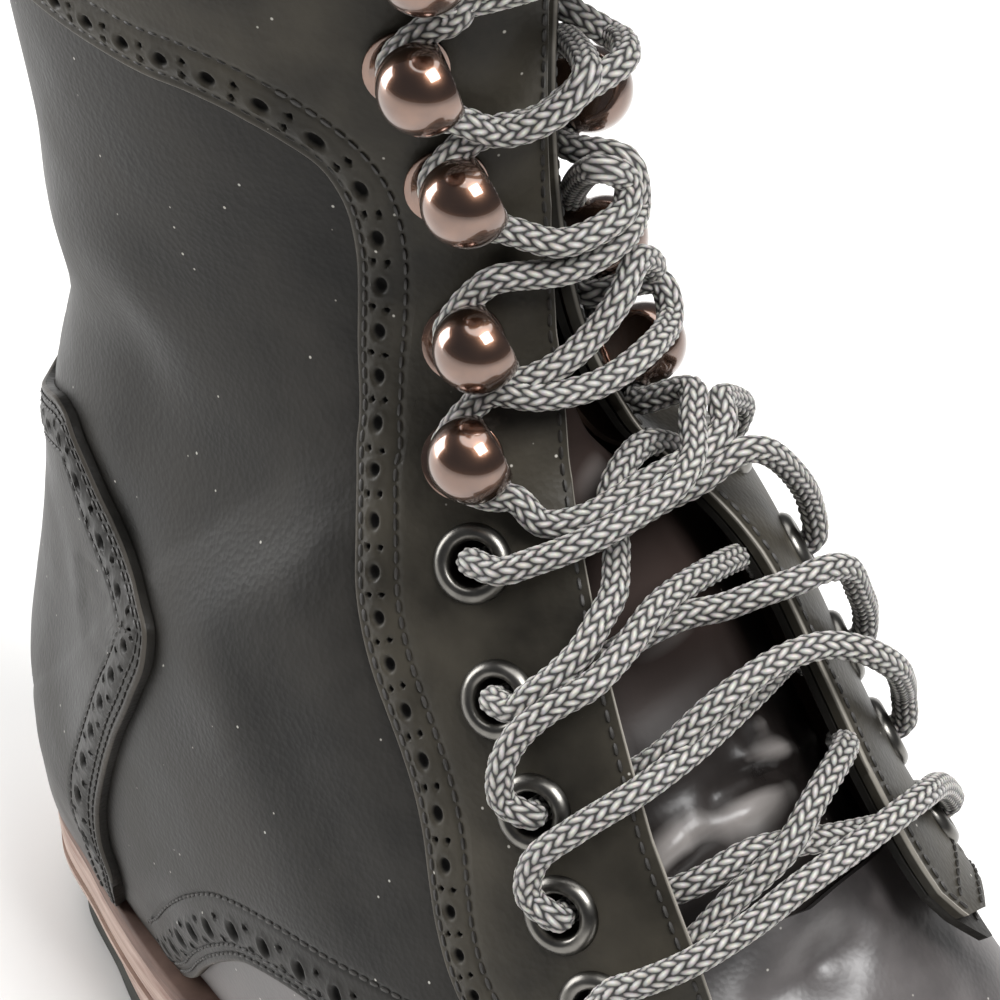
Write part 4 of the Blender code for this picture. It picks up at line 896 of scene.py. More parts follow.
def counter_half(side):
    """Rows along the edge from the feather line to the back seam, columns down to both of them."""
    table = COUNTER_EDGE.copy()
    table[:, 1] *= girth(table[:, 0], side) / girth(table[:, 0], -1)
    edge = even_line(table, side, COUNTER_ROWS)
    border = line_border(side, COUNTER_EDGE[0, 0], COUNTER_EDGE[-1, 0], BORDER_STEPS)
    points = on_last(border[:, 0], side, border[:, 1], 0)
    length = run_along(points)
    wanted = np.linspace(0, length[-1], len(edge))
    base = read_line(wanted, length, border)

    def relief(distance, along):
        return worked_edge(distance, along, COUNTER_ROW, COUNTER_STITCHES, COUNTER_HOLES, COUNTER_RISE)

    square = held_square(COUNTER_ROWS, COUNTER_TURN, COUNTER_TURN)
    outer, inner, distance, seam = panel(side, edge, base, COUNTER_BAND, COUNTER_BAND[-1], square,
                                         COUNTER_COLUMNS, COUNTER_OFFSET, OVERLAY_WALL, relief)
    counter_grids[side] = (outer, distance)
    seam[:, 2] = NO_EDGE
    return panel_shape(outer, inner), seam


counter_leather = black_leather("black_calf_counter", COUNTER_HOLES, rough=0.38)
counter_halves = [counter_half(side) for side in SIDES]
counter_seam = np.concatenate([half[1] for half in counter_halves])
new_piece("heel_counter", joined([half[0] for half in counter_halves]), counter_leather,
          ["heel_counter"], counter_seam)

# Facings: stiffened strips of black calf along the throat that carry the eyelets and hooks.
# At the ankle each turns back in a swan neck and becomes the collar band. The rear edge is brogued.
FACING_OFFSET = 1.8
FACING_EDGE = np.array([(4.95, 19.3), (5.05, 23.8), (5.16, 29.5), (5.3, 37.0), (5.5, 43.5), (5.75, 46.2),
                        (6.03, 46.9), (6.28, 45.5), (6.47, 43.4), (6.66, 41.2), (6.86, 39.8),
                        (7.08, 39.2), (7.30, 39.0), (7.55, 38.8), (7.84, 38.2), (8.15, 37.2),
                        (8.56, 35.2), (8.82, 34.0), (9.36, 32.0), (9.80, 30.3), (10.31, 28.7),
                        (10.91, 28.0), (11.38, 28.8), (11.71, 31.0), (12.01, 35.5), (12.24, 40.6),
                        (12.44, 47.3), (12.58, 54.5), (12.74, 62.7), (12.85, 69.0), (12.97, 76.2),
                        (13.1, 94.0), (13.25, 115.0), (13.4, 140.0)])
NECK_STATION = 11.5
FACING_PITCH, FACING_ROW, FACING_STITCHES = 5.9, 3.3, (1.2, 6.2)
FACING_HOLES = ((FACING_PITCH, 0.5, FACING_ROW, 0.95, 0.75),
                (FACING_PITCH, 0.0, FACING_ROW - 0.85, 0.36, 0.36),
                (FACING_PITCH, 0.0, FACING_ROW + 0.85, 0.36, 0.36))
FACING_BAND = np.concatenate([[0, 0.12, 0.3], np.arange(0.52, 7.4, 0.33)])
FACING_ROWS, FACING_COLUMNS, FACING_TURN, FACING_RISE = 600, 34, 38, 0.15
HALF_BORDER = 1000
# Below the neck the rear edge is skived thin so that it lies flush on the quarter.
SKIVED, SKIVE_WIDTH, SKIVE_PAST, SKIVE_FADE = 1.0, 2.4, 0.05, 0.08
THROAT_STITCH = 2.0
facing_grids = {}
throat_grids = {}


def facing(side):
    """Rows along the rear edge, columns to the throat edge below the neck and to the collar beyond it."""
    table = FACING_EDGE.copy()
    inside = table[:, 1] < girth(table[:, 0], side)
    last = np.argmin(inside)
    before, after = table[last - 1], table[last]
    gaps = [girth(row[0], side) - row[1] for row in (before, after)]
    meets = before + (after - before) * gaps[0] / (gaps[0] - gaps[1])
    table = np.concatenate([table[:last], meets[None]])
    edge = even_line(table, side, FACING_ROWS)
    throat = np.linspace(table[0, 0], COLLAR, HALF_BORDER)
    throat = np.stack([throat, np.interp(throat, *THROAT_EDGE[side].T)], axis=1)
    collar = np.linspace(throat[-1, 1], girth(COLLAR, side), HALF_BORDER)
    border = np.concatenate([throat, np.stack([np.full(HALF_BORDER, COLLAR), collar], axis=1)])
    neck = np.argmax(edge[:, 0] > NECK_STATION)
    share = np.interp(np.arange(len(edge)), [0, neck, len(edge) - 1],
                      [0, HALF_BORDER - 1, 2 * HALF_BORDER - 1])
    base = read_line(share, np.arange(len(border)), border)
    neck_along = neck / len(edge)

    def relief(distance, along):
        thinned = np.clip((neck_along + SKIVE_PAST - along / along.max()) / SKIVE_FADE, 0, 1)
        skived = -SKIVED * np.exp(-distance / SKIVE_WIDTH) * thinned
        return skived + worked_edge(distance, along, FACING_ROW, FACING_STITCHES, FACING_HOLES, FACING_RISE)

    square = held_square(FACING_ROWS, FACING_TURN, FACING_TURN)
    outer, inner, distance, seam = panel(side, edge, base, FACING_BAND, FACING_BAND[-1], square,
                                         FACING_COLUMNS, FACING_OFFSET, OVERLAY_WALL, relief)
    seam.reshape(len(edge), -1, 3)[neck:, :, 2] = NO_EDGE
    facing_grids[side] = (outer, distance)
    steps = np.linalg.norm(np.diff(outer[:neck], axis=1), axis=2)
    border_distance = np.concatenate([np.zeros((neck, 1)), np.cumsum(steps[:, ::-1], axis=1)], axis=1) / MM
    throat_grids[side] = (outer[:neck, ::-1], border_distance)
    name = "facing_" + SIDES[side]
    return new_piece(name, panel_shape(outer, inner), facing_leather, [name], seam,
                     inner_faces(outer, inner))


# Lighter and browner than the quarters' calf: partly a brown tint, partly painted light for the brighter look
# of the facings.
FACING_LIGHTENED_TONES = ("201e1a", "433f37")
facing_leather = black_leather("black_calf_facing", FACING_HOLES, tones=FACING_LIGHTENED_TONES)
facings = {side: facing(side) for side in SIDES}

# Insole: a leather board inside on which the foot rests, covered in the same brown leather as the lining.
INSOLE_FIRST, INSOLE_LAST, INSOLE_THICKNESS, INSOLE_INSET = 0.6, 9.1, 0.003, -0.0056
SOLE_EDGE = np.array([(0.0, 5.0), (3.0, 5.0), (4.5, 3.6), (6.0, 2.4), (9.4, 2.4)])
LAYER_GAP = 0.0003
# How much closer the outer heel side is trimmed: at the sole, the foot of the heel stack and the top lift
SOLE_TRIM, STACK_TRIM, LIFT_TRIM = 0.0024, 0.0042, 0.0046
# Stations before the heel's back over which the trim fades, and how far rows crowd at the round ends
TRIM_FADE, CROWDING = 0.4, 0.35
# Points down each edge of a layer, points across it, and the share of its height that is rounded
EDGE_POINTS, CROSS_POINTS, ROUND_SHARE = 13, 9, 0.22
PLAN_STEPS, ROW_STEPS, INSOLE_ROWS, INSOLE_ROUND = 1600, 3000, 90, 0.0006


def tube_caps(rows, ring):
    """Fans of triangles that close a tube at its first and last ring."""
    fan = np.stack([np.zeros(ring - 2, int), np.arange(1, ring - 1), np.arange(2, ring)], axis=1)
    return np.concatenate([fan[:, ::-1], fan + (rows - 1) * ring])


def plan_edge(stations, side, beyond, trim):
    """One side's feather line from above, moved out by beyond, less the trim of the outer heel side."""
    dense = np.linspace(0, HEEL_BACK, PLAN_STEPS)
    x = measure("bottom_x", dense, LAST_LENGTH) - HEEL_MIDDLE
    y = measure("middle", dense, BALL_WIDTH) + side * np.maximum(measure("feather", dense, BALL_WIDTH), 0)
    along = unit_length(np.stack([np.gradient(x), np.gradient(y)], axis=1))
    along[-1] = (0, -side)
    out = np.stack([along[:, 1], -along[:, 0]], axis=1) * side
    places = np.stack([np.interp(stations, dense, values) for values in (x, y, out[:, 0], out[:, 1])])
    out = np.broadcast_to(beyond, len(stations))
    if side < 0:
        back = eased((FLAT_FRONT - places[0]) / (FLAT_FRONT - FLAT_BACK))
        out = out - trim * back * eased((HEEL_BACK - np.asarray(stations)) / TRIM_FADE)
    return places[:2].T + places[2:].T * out[:, None]


def sole_rows(first, last, count):
    """Stations at even steps of length along the feather line, closer together at both round ends."""
    dense = np.linspace(first, last, ROW_STEPS)
    line = plan_edge(dense, -1, 0.0, 0.0)
    length = run_along(line)
    share = np.linspace(0, 1, count)
    crowded = (0.5 - 0.5 * np.cos(math.pi * share)) * CROWDING * length[-1]
    return np.interp(crowded + (1 - CROWDING) * share * length[-1], length, dense)


def layer_shape(stations, top, bottom, beyond_top, beyond_bottom, round_edge, waist,
                trims=(SOLE_TRIM, SOLE_TRIM)):
    """A layer of the sole: closed sections across it. Each side falls from the top edge to the bottom edge in
    a rounded profile that draws in by waist at half height."""
    fall = np.linspace(0, 1, EDGE_POINTS)
    near_edge = np.clip(1 - np.minimum(fall, 1 - fall) / ROUND_SHARE, 0, 1)
    draw = -round_edge * (1 - np.sqrt(1 - near_edge ** 2)) - waist * np.sin(math.pi * fall) ** 2
    sides = []
    for side in (-1, 1):
        beyond = beyond_top[:, None] + (beyond_bottom - beyond_top)[:, None] * fall + draw
        trim = trims[0] + (trims[1] - trims[0]) * fall
        plan = np.stack([plan_edge(stations, side, beyond[:, k], trim[k]) for k in range(len(fall))], axis=1)
        level = top[:, None] + (bottom - top)[:, None] * fall
        sides.append(np.concatenate([plan, level[..., None]], axis=2))
    lateral, medial = sides
    cross = np.linspace(0, 1, CROSS_POINTS)[1:-1][None, :, None]
    under = lateral[:, -1:] + (medial[:, -1:] - lateral[:, -1:]) * cross
    over = medial[:, :1] + (lateral[:, :1] - medial[:, :1]) * cross
    rings = np.concatenate([lateral, under, medial[:, ::-1], over], axis=1)
    rows, ring = rings.shape[:2]
    points = rings.reshape(-1, 3)
    return points, *outward(points, tube_faces(rows, ring), tube_caps(rows, ring))


def insole_shape():
    """A thin plate that follows the feather line, set in from it."""
    stations = sole_rows(INSOLE_FIRST, INSOLE_LAST, INSOLE_ROWS)
    base = measure("bottom_z", stations, SHAFT_HEIGHT)
    beyond = np.full(len(stations), INSOLE_INSET)
    return layer_shape(stations, base + INSOLE_THICKNESS, base, beyond, beyond, INSOLE_ROUND, 0.0)


new_piece("insole", insole_shape(), brown_leather, ["insole"])

# Welt: a strip of brown leather round the feather line, sewn to the upper and through the outsole.
WELT_DARK, WELT_LIGHT, GLUE = "4a332a", "7f6356", "4c362d"
# How much longer than high the streaks of a cut edge are; thickness of a glue line as a share of a lift
STREAK_LENGTH, GLUE_WIDTH, GLUE_STRENGTH = 12, 0.09, 0.55
WELT_THICKNESS, WELT_ROUND = 0.0035, 0.0007
SOLE_STATIONS = sole_rows(0.0, HEEL_BACK, 240)
FEATHER_LEVEL = measure("bottom_z", SOLE_STATIONS, SHAFT_HEIGHT)
SOLE_BEYOND = np.interp(SOLE_STATIONS, SOLE_EDGE[:, 0], SOLE_EDGE[:, 1]) * MM


def edge_leather(name, colours, streak, lines, roughness):
    """Cut leather edge: level streaks from a noise squeezed in height, and glue lines between lifts."""
    material, tree, shader = new_material(name)
    place = add_node(tree, "ShaderNodeTexCoord").outputs["Object"]
    level_scale = 1 / (STREAK_LENGTH * streak)
    squeezed = add_node(tree, "ShaderNodeMapping",
                        {"Vector": place, "Scale": (level_scale, level_scale, 1 / streak)}).outputs["Vector"]
    streaks = add_node(tree, "ShaderNodeTexNoise", {"Vector": squeezed, "Scale": 1.0, "Detail": 6.0,
                                                    "Roughness": 0.6}).outputs["Fac"]
    ramp = add_node(tree, "ShaderNodeValToRGB", {"Fac": streaks})
    for stop, position, tone in zip(ramp.color_ramp.elements, (0.3, 0.7), colours):
        stop.position = position
        stop.color = linear(tone)
    colour = ramp.outputs["Color"]
    if lines:
        level = add_node(tree, "ShaderNodeSeparateXYZ", {0: place}).outputs["Z"]
        turn = add_node(tree, "ShaderNodeMath", {0: level, 1: 1 / lines}, operation="MULTIPLY")
        part = add_node(tree, "ShaderNodeMath", {0: turn.outputs[0]}, operation="FRACT")
        line = add_node(tree, "ShaderNodeMapRange", {"Value": part.outputs[0], "From Min": 0.0,
                                                     "From Max": GLUE_WIDTH, "To Min": GLUE_STRENGTH,
                                                     "To Max": 0.0})
        colour = add_node(tree, "ShaderNodeMix", {"Factor": line.outputs["Result"], "A": colour,
                                                  "B": linear(GLUE)}, data_type="RGBA").outputs["Result"]
    bump = add_node(tree, "ShaderNodeBump", {"Height": streaks, "Strength": 0.3, "Distance": 0.0003})
    set_inputs(tree, shader, {"Base Color": colour, "Roughness": roughness, "Normal": bump.outputs["Normal"]})
    return material


welt_leather = edge_leather("welt_leather", (WELT_DARK, WELT_LIGHT), 0.0009, 0, 0.6)
welt_bottom = FEATHER_LEVEL - LAYER_GAP - WELT_THICKNESS
welt_form = layer_shape(SOLE_STATIONS, FEATHER_LEVEL - LAYER_GAP, welt_bottom, SOLE_BEYOND, SOLE_BEYOND,
                        WELT_ROUND, 0.0)
new_piece("welt", welt_form, welt_leather, ["welt"])

# Outsole: thick vegetable-tanned sole leather, its cut edge dressed and burnished to a pinkish tan.
SOLE_DARK, SOLE_LIGHT = "8d6f63", "c3ada0"
SOLE_TAPER, FOREFOOT_WEAR, SOLE_ROUND = 0.0006, 0.0006, 0.0008
sole_leather = edge_leather("sole_leather", (SOLE_DARK, SOLE_LIGHT), 0.0011, 0, 0.5)
outsole_top = welt_bottom - LAYER_GAP
outsole_bottom = np.maximum(outsole_top - outsole_top.min() - FOREFOOT_WEAR, 0)
outsole_form = layer_shape(SOLE_STATIONS, outsole_top, outsole_bottom, SOLE_BEYOND, SOLE_BEYOND - SOLE_TAPER,
                           SOLE_ROUND, 0.0)
new_piece("outsole", outsole_form, sole_leather, ["outsole"])

# Heel: lifts of sole leather stacked and glued, trimmed to one smooth slightly waisted block and nailed to
# the sole, with a rubber top lift that meets the floor.
HEEL_BREAST, TOP_LIFT, HEEL_TAPER, LIFT_THICKNESS = 7.0, 0.006, 0.0015, 0.0062
HEEL_ROUND, HEEL_WAIST, LIFT_ROUND = 0.0004, 0.0006, 0.0005
RUBBER_DARK, RUBBER_LIGHT = "23241f", "3b3b35"
heel_leather = edge_leather("stacked_sole_leather", (SOLE_DARK, SOLE_LIGHT), 0.0011, LIFT_THICKNESS, 0.48)
heel_rubber = edge_leather("heel_rubber", (RUBBER_DARK, RUBBER_LIGHT), 0.0008, 0, 0.8)
HEEL_STATIONS = sole_rows(HEEL_BREAST, HEEL_BACK, 130)
heel_sole = measure("bottom_z", HEEL_STATIONS, SHAFT_HEIGHT) - 2 * LAYER_GAP - WELT_THICKNESS
heel_top = np.maximum(heel_sole - outsole_top.min() - FOREFOOT_WEAR, 0) - LAYER_GAP
heel_beyond = np.interp(HEEL_STATIONS, SOLE_EDGE[:, 0], SOLE_EDGE[:, 1]) * MM
heel_level = np.full(len(HEEL_STATIONS), TOP_LIFT)
heel_foot = heel_beyond - HEEL_TAPER
heel_form = layer_shape(HEEL_STATIONS, heel_top, heel_level + LAYER_GAP, heel_beyond, heel_foot, HEEL_ROUND,
                        HEEL_WAIST, (SOLE_TRIM, STACK_TRIM))
new_piece("heel_stack", heel_form, heel_leather, ["heel_stack"])
lift_form = layer_shape(HEEL_STATIONS, heel_level, heel_level * 0, heel_foot, heel_foot, LIFT_ROUND, 0.0,
                        (LIFT_TRIM, LIFT_TRIM))
new_piece("heel_top_lift", lift_form, heel_rubber, ["heel_top_lift"])

# Stitching: waxed black linen thread, short stitches pulled into the leather along the brogued edges. Lengths
# are in millimetres; look is how far ahead a stitch's direction is read, rise how far it stands proud.
STITCH_PITCH, STITCH_LENGTH, STITCH_THICKNESS, STITCH_MARGIN = 1.9, 1.4, 0.52, 1.5
STITCH_LOOK, STITCH_RISE = 0.6, 0.1
THREAD_DARK, THREAD_LIGHT = "161514", "383531"


def rail(grid, wanted):
    """The line on a panel's outer face at one distance from its edge, where the panel is wide enough for it,
    and the normals there."""
    outer, distance = grid
    rows = np.flatnonzero(distance[:, -1] > wanted + STITCH_MARGIN)
    column = np.clip(np.argmax(distance[rows] >= wanted, axis=1), 1, None)
    low = distance[rows, column - 1]
    share = np.clip((wanted - low) / (distance[rows, column] - low), 0, 1)[:, None]
    normals = np.cross(np.gradient(outer, axis=0), np.gradient(outer, axis=1))
    line = outer[rows, column - 1] * (1 - share) + outer[rows, column] * share
    return line, unit_length(normals[rows, column])


def stitch_shape(lines, middle):
    """Small capsules along lines, five-sided, each laid along its line with its back out of the leather."""
    around = np.linspace(0, 2 * math.pi, 6)[:-1]
    rings = ((-0.5, 0.35), (-0.3, 1.0), (0.3, 1.0), (0.5, 0.35))
    half = 0.5 * STITCH_THICKNESS
    capsule = np.array([(end * STITCH_LENGTH, half * size * math.cos(angle), half * size * math.sin(angle))
                        for end, size in rings for angle in around])
    quads = tube_faces(len(rings), len(around))
    caps = np.array([(0, 2, 1), (0, 3, 2), (0, 4, 3), (15, 16, 17), (15, 17, 18), (15, 18, 19)])
    shells = []
    for line, normals in lines:
        length = run_along(line) / MM
        places = np.arange(STITCH_PITCH, length[-1] - STITCH_PITCH, STITCH_PITCH)
        centre = read_line(places, length, line)
        ahead = unit_length(read_line(places + STITCH_LOOK, length, line) - centre)
        up = read_line(places, length, normals)
        up *= np.sign(((centre - middle) * up).sum(axis=1, keepdims=True))
        across = unit_length(np.cross(up, ahead))
        up = np.cross(ahead, across)
        frames = np.stack([ahead, across, up], axis=1)
        points = centre[:, None] + (capsule @ frames + STITCH_RISE * up[:, None]) * MM
        turns = len(capsule) * np.arange(len(places))[:, None, None]
        shells.append((points.reshape(-1, 3), (quads[None] + turns).reshape(-1, 4),
                       (caps[None] + turns).reshape(-1, 3)))
    points, quads, triangles = joined(shells)
    return points, *outward(points, quads, triangles)


def linen_thread():
    """Waxed thread: dark grey with paler rubbed crowns from a fine noise."""
    material, tree, shader = new_material("waxed_black_thread")
    place = add_node(tree, "ShaderNodeTexCoord").outputs["Object"]
    rub = add_node(tree, "ShaderNodeTexNoise", {"Vector": place, "Scale": 700.0, "Detail": 3.0})
    colour = add_node(tree, "ShaderNodeMix", {"Factor": rub.outputs["Fac"], "A": linear(THREAD_DARK),
                                              "B": linear(THREAD_LIGHT)}, data_type="RGBA")
    set_inputs(tree, shader, {"Base Color": colour.outputs["Result"], "Roughness": 0.55})
    return material


BOOT_MIDDLE = np.array([0.04, 0.0, 0.1])
thread = linen_thread()
for stitch_side, stitch_name in SIDES.items():
    stitch_lines = [rail(quarter_grids[stitch_side], place) for place in WING_STITCHES]
    stitch_lines += [rail(counter_grids[stitch_side], place) for place in COUNTER_STITCHES]
    stitch_lines += [rail(facing_grids[stitch_side], place) for place in FACING_STITCHES]
    stitch_lines.append(rail(throat_grids[stitch_side], THROAT_STITCH))
    new_piece("stitching_" + stitch_name, stitch_shape(stitch_lines, BOOT_MIDDLE), thread)

# Eyelets: gunmetal-plated brass, a flange rolled over the facing and a barrel through both layers of leather.
EYELETS = ((5.48, 28.0), (5.93, 27.2), (6.40, 25.2), (6.98, 23.8), (7.80, 21.0))
EYELET_PROFILE = np.array([(2.62, -3.4), (2.62, 0.2), (2.70, 0.65), (2.95, 0.95), (3.35, 1.12),
                           (3.8, 1.06), (4.2, 0.82), (4.5, 0.5), (4.7, 0.15), (4.72, -0.15), (4.3, -0.2),
                           (3.1, -0.2), (3.0, -0.6), (3.0, -3.4)])
METAL_DARK, METAL_WORN = "3d3c3a", "8f8c86"
TURN_STEPS = 40
# Small steps that measure the surface's directions at a fitting: millimetres and stations
SEAT_STEP, SEAT_STATION = 0.4, 0.02


def seat(station, side, from_top, height):
    """Where a fitting sits: its point and three directions, to the throat, along the throat and outwards."""
    reaches = np.array([from_top - SEAT_STEP, from_top, from_top + SEAT_STEP])
    here = on_leather(station, side, reaches, height)
    stations = np.array([station - SEAT_STATION, station + SEAT_STATION])
    ahead = on_leather(stations, side, np.full(2, from_top), height)
    to_throat = here[0] - here[2]
    to_throat /= np.linalg.norm(to_throat)
    along = ahead[1] - ahead[0]
    out = np.cross(to_throat, along) * -side
    out /= np.linalg.norm(out)
    return here[1], np.stack([to_throat, np.cross(out, to_throat), out])


def turned_shape(profile, steps):
    """A closed profile of radius and height swept once round Z."""
    angle = np.linspace(0, 2 * math.pi, steps + 1)[:-1][:, None]
    ring = np.stack([profile[:, 0] * np.cos(angle), profile[:, 0] * np.sin(angle),
                     profile[:, 1] + 0 * angle], axis=2)
    rows = np.concatenate([ring, ring[:1]])
    quads = tube_faces(steps + 1, len(profile)) % (steps * len(profile))
    points = rows[:-1].reshape(-1, 3)
    return points, *outward(points, quads, np.zeros((0, 3), int))


def plated_metal(name, colours, roughness, spot):
    """Plated metal: worn tone over dark tone by a cloudy noise, with fine handling marks in the bump."""
    material, tree, shader = new_material(name)
    place = add_node(tree, "ShaderNodeTexCoord").outputs["Object"]
    wear = add_node(tree, "ShaderNodeTexNoise", {"Vector": place, "Scale": 1 / spot, "Detail": 4.0})
    marks = add_node(tree, "ShaderNodeTexNoise", {"Vector": place, "Scale": 900.0, "Detail": 2.0})
    colour = add_node(tree, "ShaderNodeMix", {"Factor": wear.outputs["Fac"], "A": linear(colours[0]),
                                              "B": linear(colours[1])}, data_type="RGBA")
    bump = add_node(tree, "ShaderNodeBump", {"Height": marks.outputs["Fac"], "Strength": 0.08,
                                             "Distance": 0.0002})
    set_inputs(tree, shader, {"Base Color": colour.outputs["Result"], "Metallic": 1.0, "Roughness": roughness,
                              "Normal": bump.outputs["Normal"]})
    return material


def set_fittings(kind, places, shift, shape, material):
    """One fitting of a kind at each place of both sides, moved by a side's shift. Returns where each sits."""
    seats = {}
    for side, side_name in SIDES.items():
        for number, (station, reach) in enumerate(places, start=1):
            centre, axes = seat(station + shift[side], side, reach, FACING_OFFSET)
            seats[side, number] = (centre, axes)
            points = centre + shape[0] @ axes * MM
            name = f"{kind}_{side_name}_{number}"
            new_piece(name, (points, *outward(points, *shape[1:])), material, [name])
    return seats


gunmetal = plated_metal("gunmetal_plate", (METAL_DARK, METAL_WORN), 0.3, 0.003)
eyelet_ring = turned_shape(EYELET_PROFILE, TURN_STEPS)
eyelet_seats = set_fittings("eyelet", EYELETS, {-1: 0.0, 1: 0.0}, eyelet_ring, gunmetal)

# Eyelet holes: punched through facing and quarter before the eyelets are set.
HOLE_RADIUS, HOLE_DEPTH, HOLE_STEPS = 3.2, 9.0, 32


def punch(side):
    """Cuts round holes at the eyelets of one side through its facing and quarter."""
    angle = np.linspace(0, 2 * math.pi, HOLE_STEPS + 1)[:-1]
    ring = np.stack([HOLE_RADIUS * np.cos(angle), HOLE_RADIUS * np.sin(angle)], axis=1)
    levels = (-HOLE_DEPTH, HOLE_DEPTH)
    rings = np.stack([np.column_stack([ring, np.full(HOLE_STEPS, level)]) for level in levels])
    shells = []
    for number in range(1, len(EYELETS) + 1):
        centre, axes = eyelet_seats[side, number]
        points = centre + rings.reshape(-1, 3) @ axes * MM
        shells.append((points, *outward(points, tube_faces(2, HOLE_STEPS), tube_caps(2, HOLE_STEPS))))
    points, quads, triangles = joined(shells)
    mesh = bpy.data.meshes.new("punch")
    mesh.from_pydata(points.tolist(), [], quads.tolist() + triangles.tolist())
    tool = bpy.data.objects.new("punch", mesh)
    bpy.context.scene.collection.objects.link(tool)
    for piece in (facings[side], quarters[side]):
        cut = piece.modifiers.new("eyelet holes", "BOOLEAN")
        cut.operation = "DIFFERENCE"
        cut.solver = "MANIFOLD"
        cut.object = tool
        bpy.context.view_layer.update()
        made = bpy.data.meshes.new_from_object(piece.evaluated_get(bpy.context.evaluated_depsgraph_get()))
        piece.modifiers.remove(cut)
        made.name = piece.data.name + "_punched"
        piece.data = made
    bpy.data.objects.remove(tool)


for punch_side in SIDES:
    punch(punch_side)

# Hooks: speed hooks of copper-plated brass. A round plate is riveted to the facing; a domed hood stands on
# it, open away from the throat, and its throat side runs down into a flared neck. The far hooks sit further
# up the throat, as the far silhouette shows: the shift is in stations.
HOOKS = ((8.61, 14.5), (9.56, 11.2), (11.14, 11.2), (12.29, 15.3), (13.24, 15.6))
HOOK_SHIFT = {-1: 0.0, 1: 0.4}
HOOD_RADIUS, HOOD_HEIGHT, HOOD_SETBACK, PLATE_SETBACK = 5.0, 5.0, 2.5, 4.1
COPPER_DARK, COPPER_WORN = "472f25", "86634f"
DOME_ANGLES, DOME_RINGS, HOOD_STEPS = (2, 102), 24, 56
# Cosine from which the closed throat side comes in, and over which
SIDE_FROM, SIDE_OVER = 0.1, 0.4
# Radius and height below the dome: under the hood's rolled rim and down its post, and down the throat side
HOOD_INSIDE = np.array([(4.95, 3.7), (4.85, 3.4), (4.55, 3.3), (4.1, 3.7), (3.2, 4.1), (2.3, 4.1),
                        (1.95, 3.4), (1.9, 2.2), (2.1, 1.2), (2.5, 0.7)])
THROAT_SIDE = np.array([(4.75, 3.9), (4.6, 3.3), (4.45, 2.8), (4.35, 2.4), (4.3, 2.0), (4.3, 1.7),
                        (4.35, 1.4), (4.45, 1.15), (4.6, 0.9), (4.75, 0.7)])
# The throat side is pressed flat: its distance from the post at the dome's middle height, and its overhang
FLAT_REACH, FLAT_SLOPE = 3.2, 0.2
PLATE_PROFILE = np.array([(0.5, 0.0), (4.6, 0.0), (4.75, 0.25), (4.65, 0.55), (4.3, 0.68), (3.9, 0.6),
                          (3.4, 0.55), (0.5, 0.55)])


def hook_shape():
    """A dome on a round plate, its lower part blended by direction from open hood to closed throat side.

    On the throat side every point is held back to a leaning plane, so that the hood is flat there.
    """
    steps = HOOD_STEPS
    direction = np.linspace(0, 2 * math.pi, steps + 1)[:-1]
    polar = np.radians(np.linspace(*DOME_ANGLES, DOME_RINGS))
    dome = np.stack([HOOD_RADIUS * np.sin(polar), HOOD_HEIGHT + HOOD_RADIUS * np.cos(polar)], axis=1)
    weight = eased((np.cos(direction) - SIDE_FROM) / SIDE_OVER)[:, None, None]
    lower = HOOD_INSIDE[None] * (1 - weight) + THROAT_SIDE[None] * weight
    profile = np.concatenate([np.broadcast_to(dome, (steps, *dome.shape)), lower], axis=1)
    plane = FLAT_REACH + FLAT_SLOPE * (profile[..., 1] - HOOD_HEIGHT)
    x = np.minimum(profile[..., 0] * np.cos(direction)[:, None], plane) - HOOD_SETBACK
    y = profile[..., 0] * np.sin(direction)[:, None]
    rings = np.stack([x, y, profile[..., 1]], axis=2).transpose(1, 0, 2)
    rows = len(rings)
    points = rings.reshape(-1, 3)
    hood = (points, *outward(points, tube_faces(rows, steps), tube_caps(rows, steps)))
    plate = turned_shape(PLATE_PROFILE, TURN_STEPS)
    return joined([hood, (plate[0] - (PLATE_SETBACK, 0, 0), *plate[1:])])


copper = plated_metal("antique_copper_plate", (COPPER_DARK, COPPER_WORN), 0.27, 0.003)
# A clear lacquer over the plate gives the sharp highlights.
set_inputs(copper.node_tree, copper.node_tree.nodes["Principled BSDF"],
           {"Coat Weight": 1.0, "Coat IOR": 1.85, "Coat Roughness": 0.06})
hook_seats = set_fittings("hook", HOOKS, HOOK_SHIFT, hook_shape(), copper)

# Lace: one round braided cord of grey cotton, ten yarns each way round. A bar joins the lowest eyelets;
# from there it crosses up through the eyelets from inside and round the hooks' posts.
LACE_RADIUS, YARNS, BRAID_STEP = 1.66, 10, 1.75
LACE_AROUND, LACE_STEP = 36, 0.42
# Radius between the yarns, how far a yarn swells, how sharply it falls off, and averagings of the path
YARN_BED, YARN_SWELL, YARN_ROUND, PATH_STEPS, PATH_AVERAGES = 0.42, 0.46, 1.8, 900, 60
# A direction that no strand runs along, from which each ring is first set
RING_START = (0.36, 0.28, 0.89)
# Millimetres past the top line from which, and over which, the inner flap's lift takes over
INNER_FROM, INNER_OVER = 6, 10
UNDER_FLAP = -3.5
# A yarn's light middle is a painted highlight and the dark gaps between yarns are painted shade; the middle
# tone is the cotton's own grey.
YARN_HIGHLIGHT, YARN_MIDDLE, YARN_GAP_SHADE = "bdbab4", "8a8783", "211f1e"
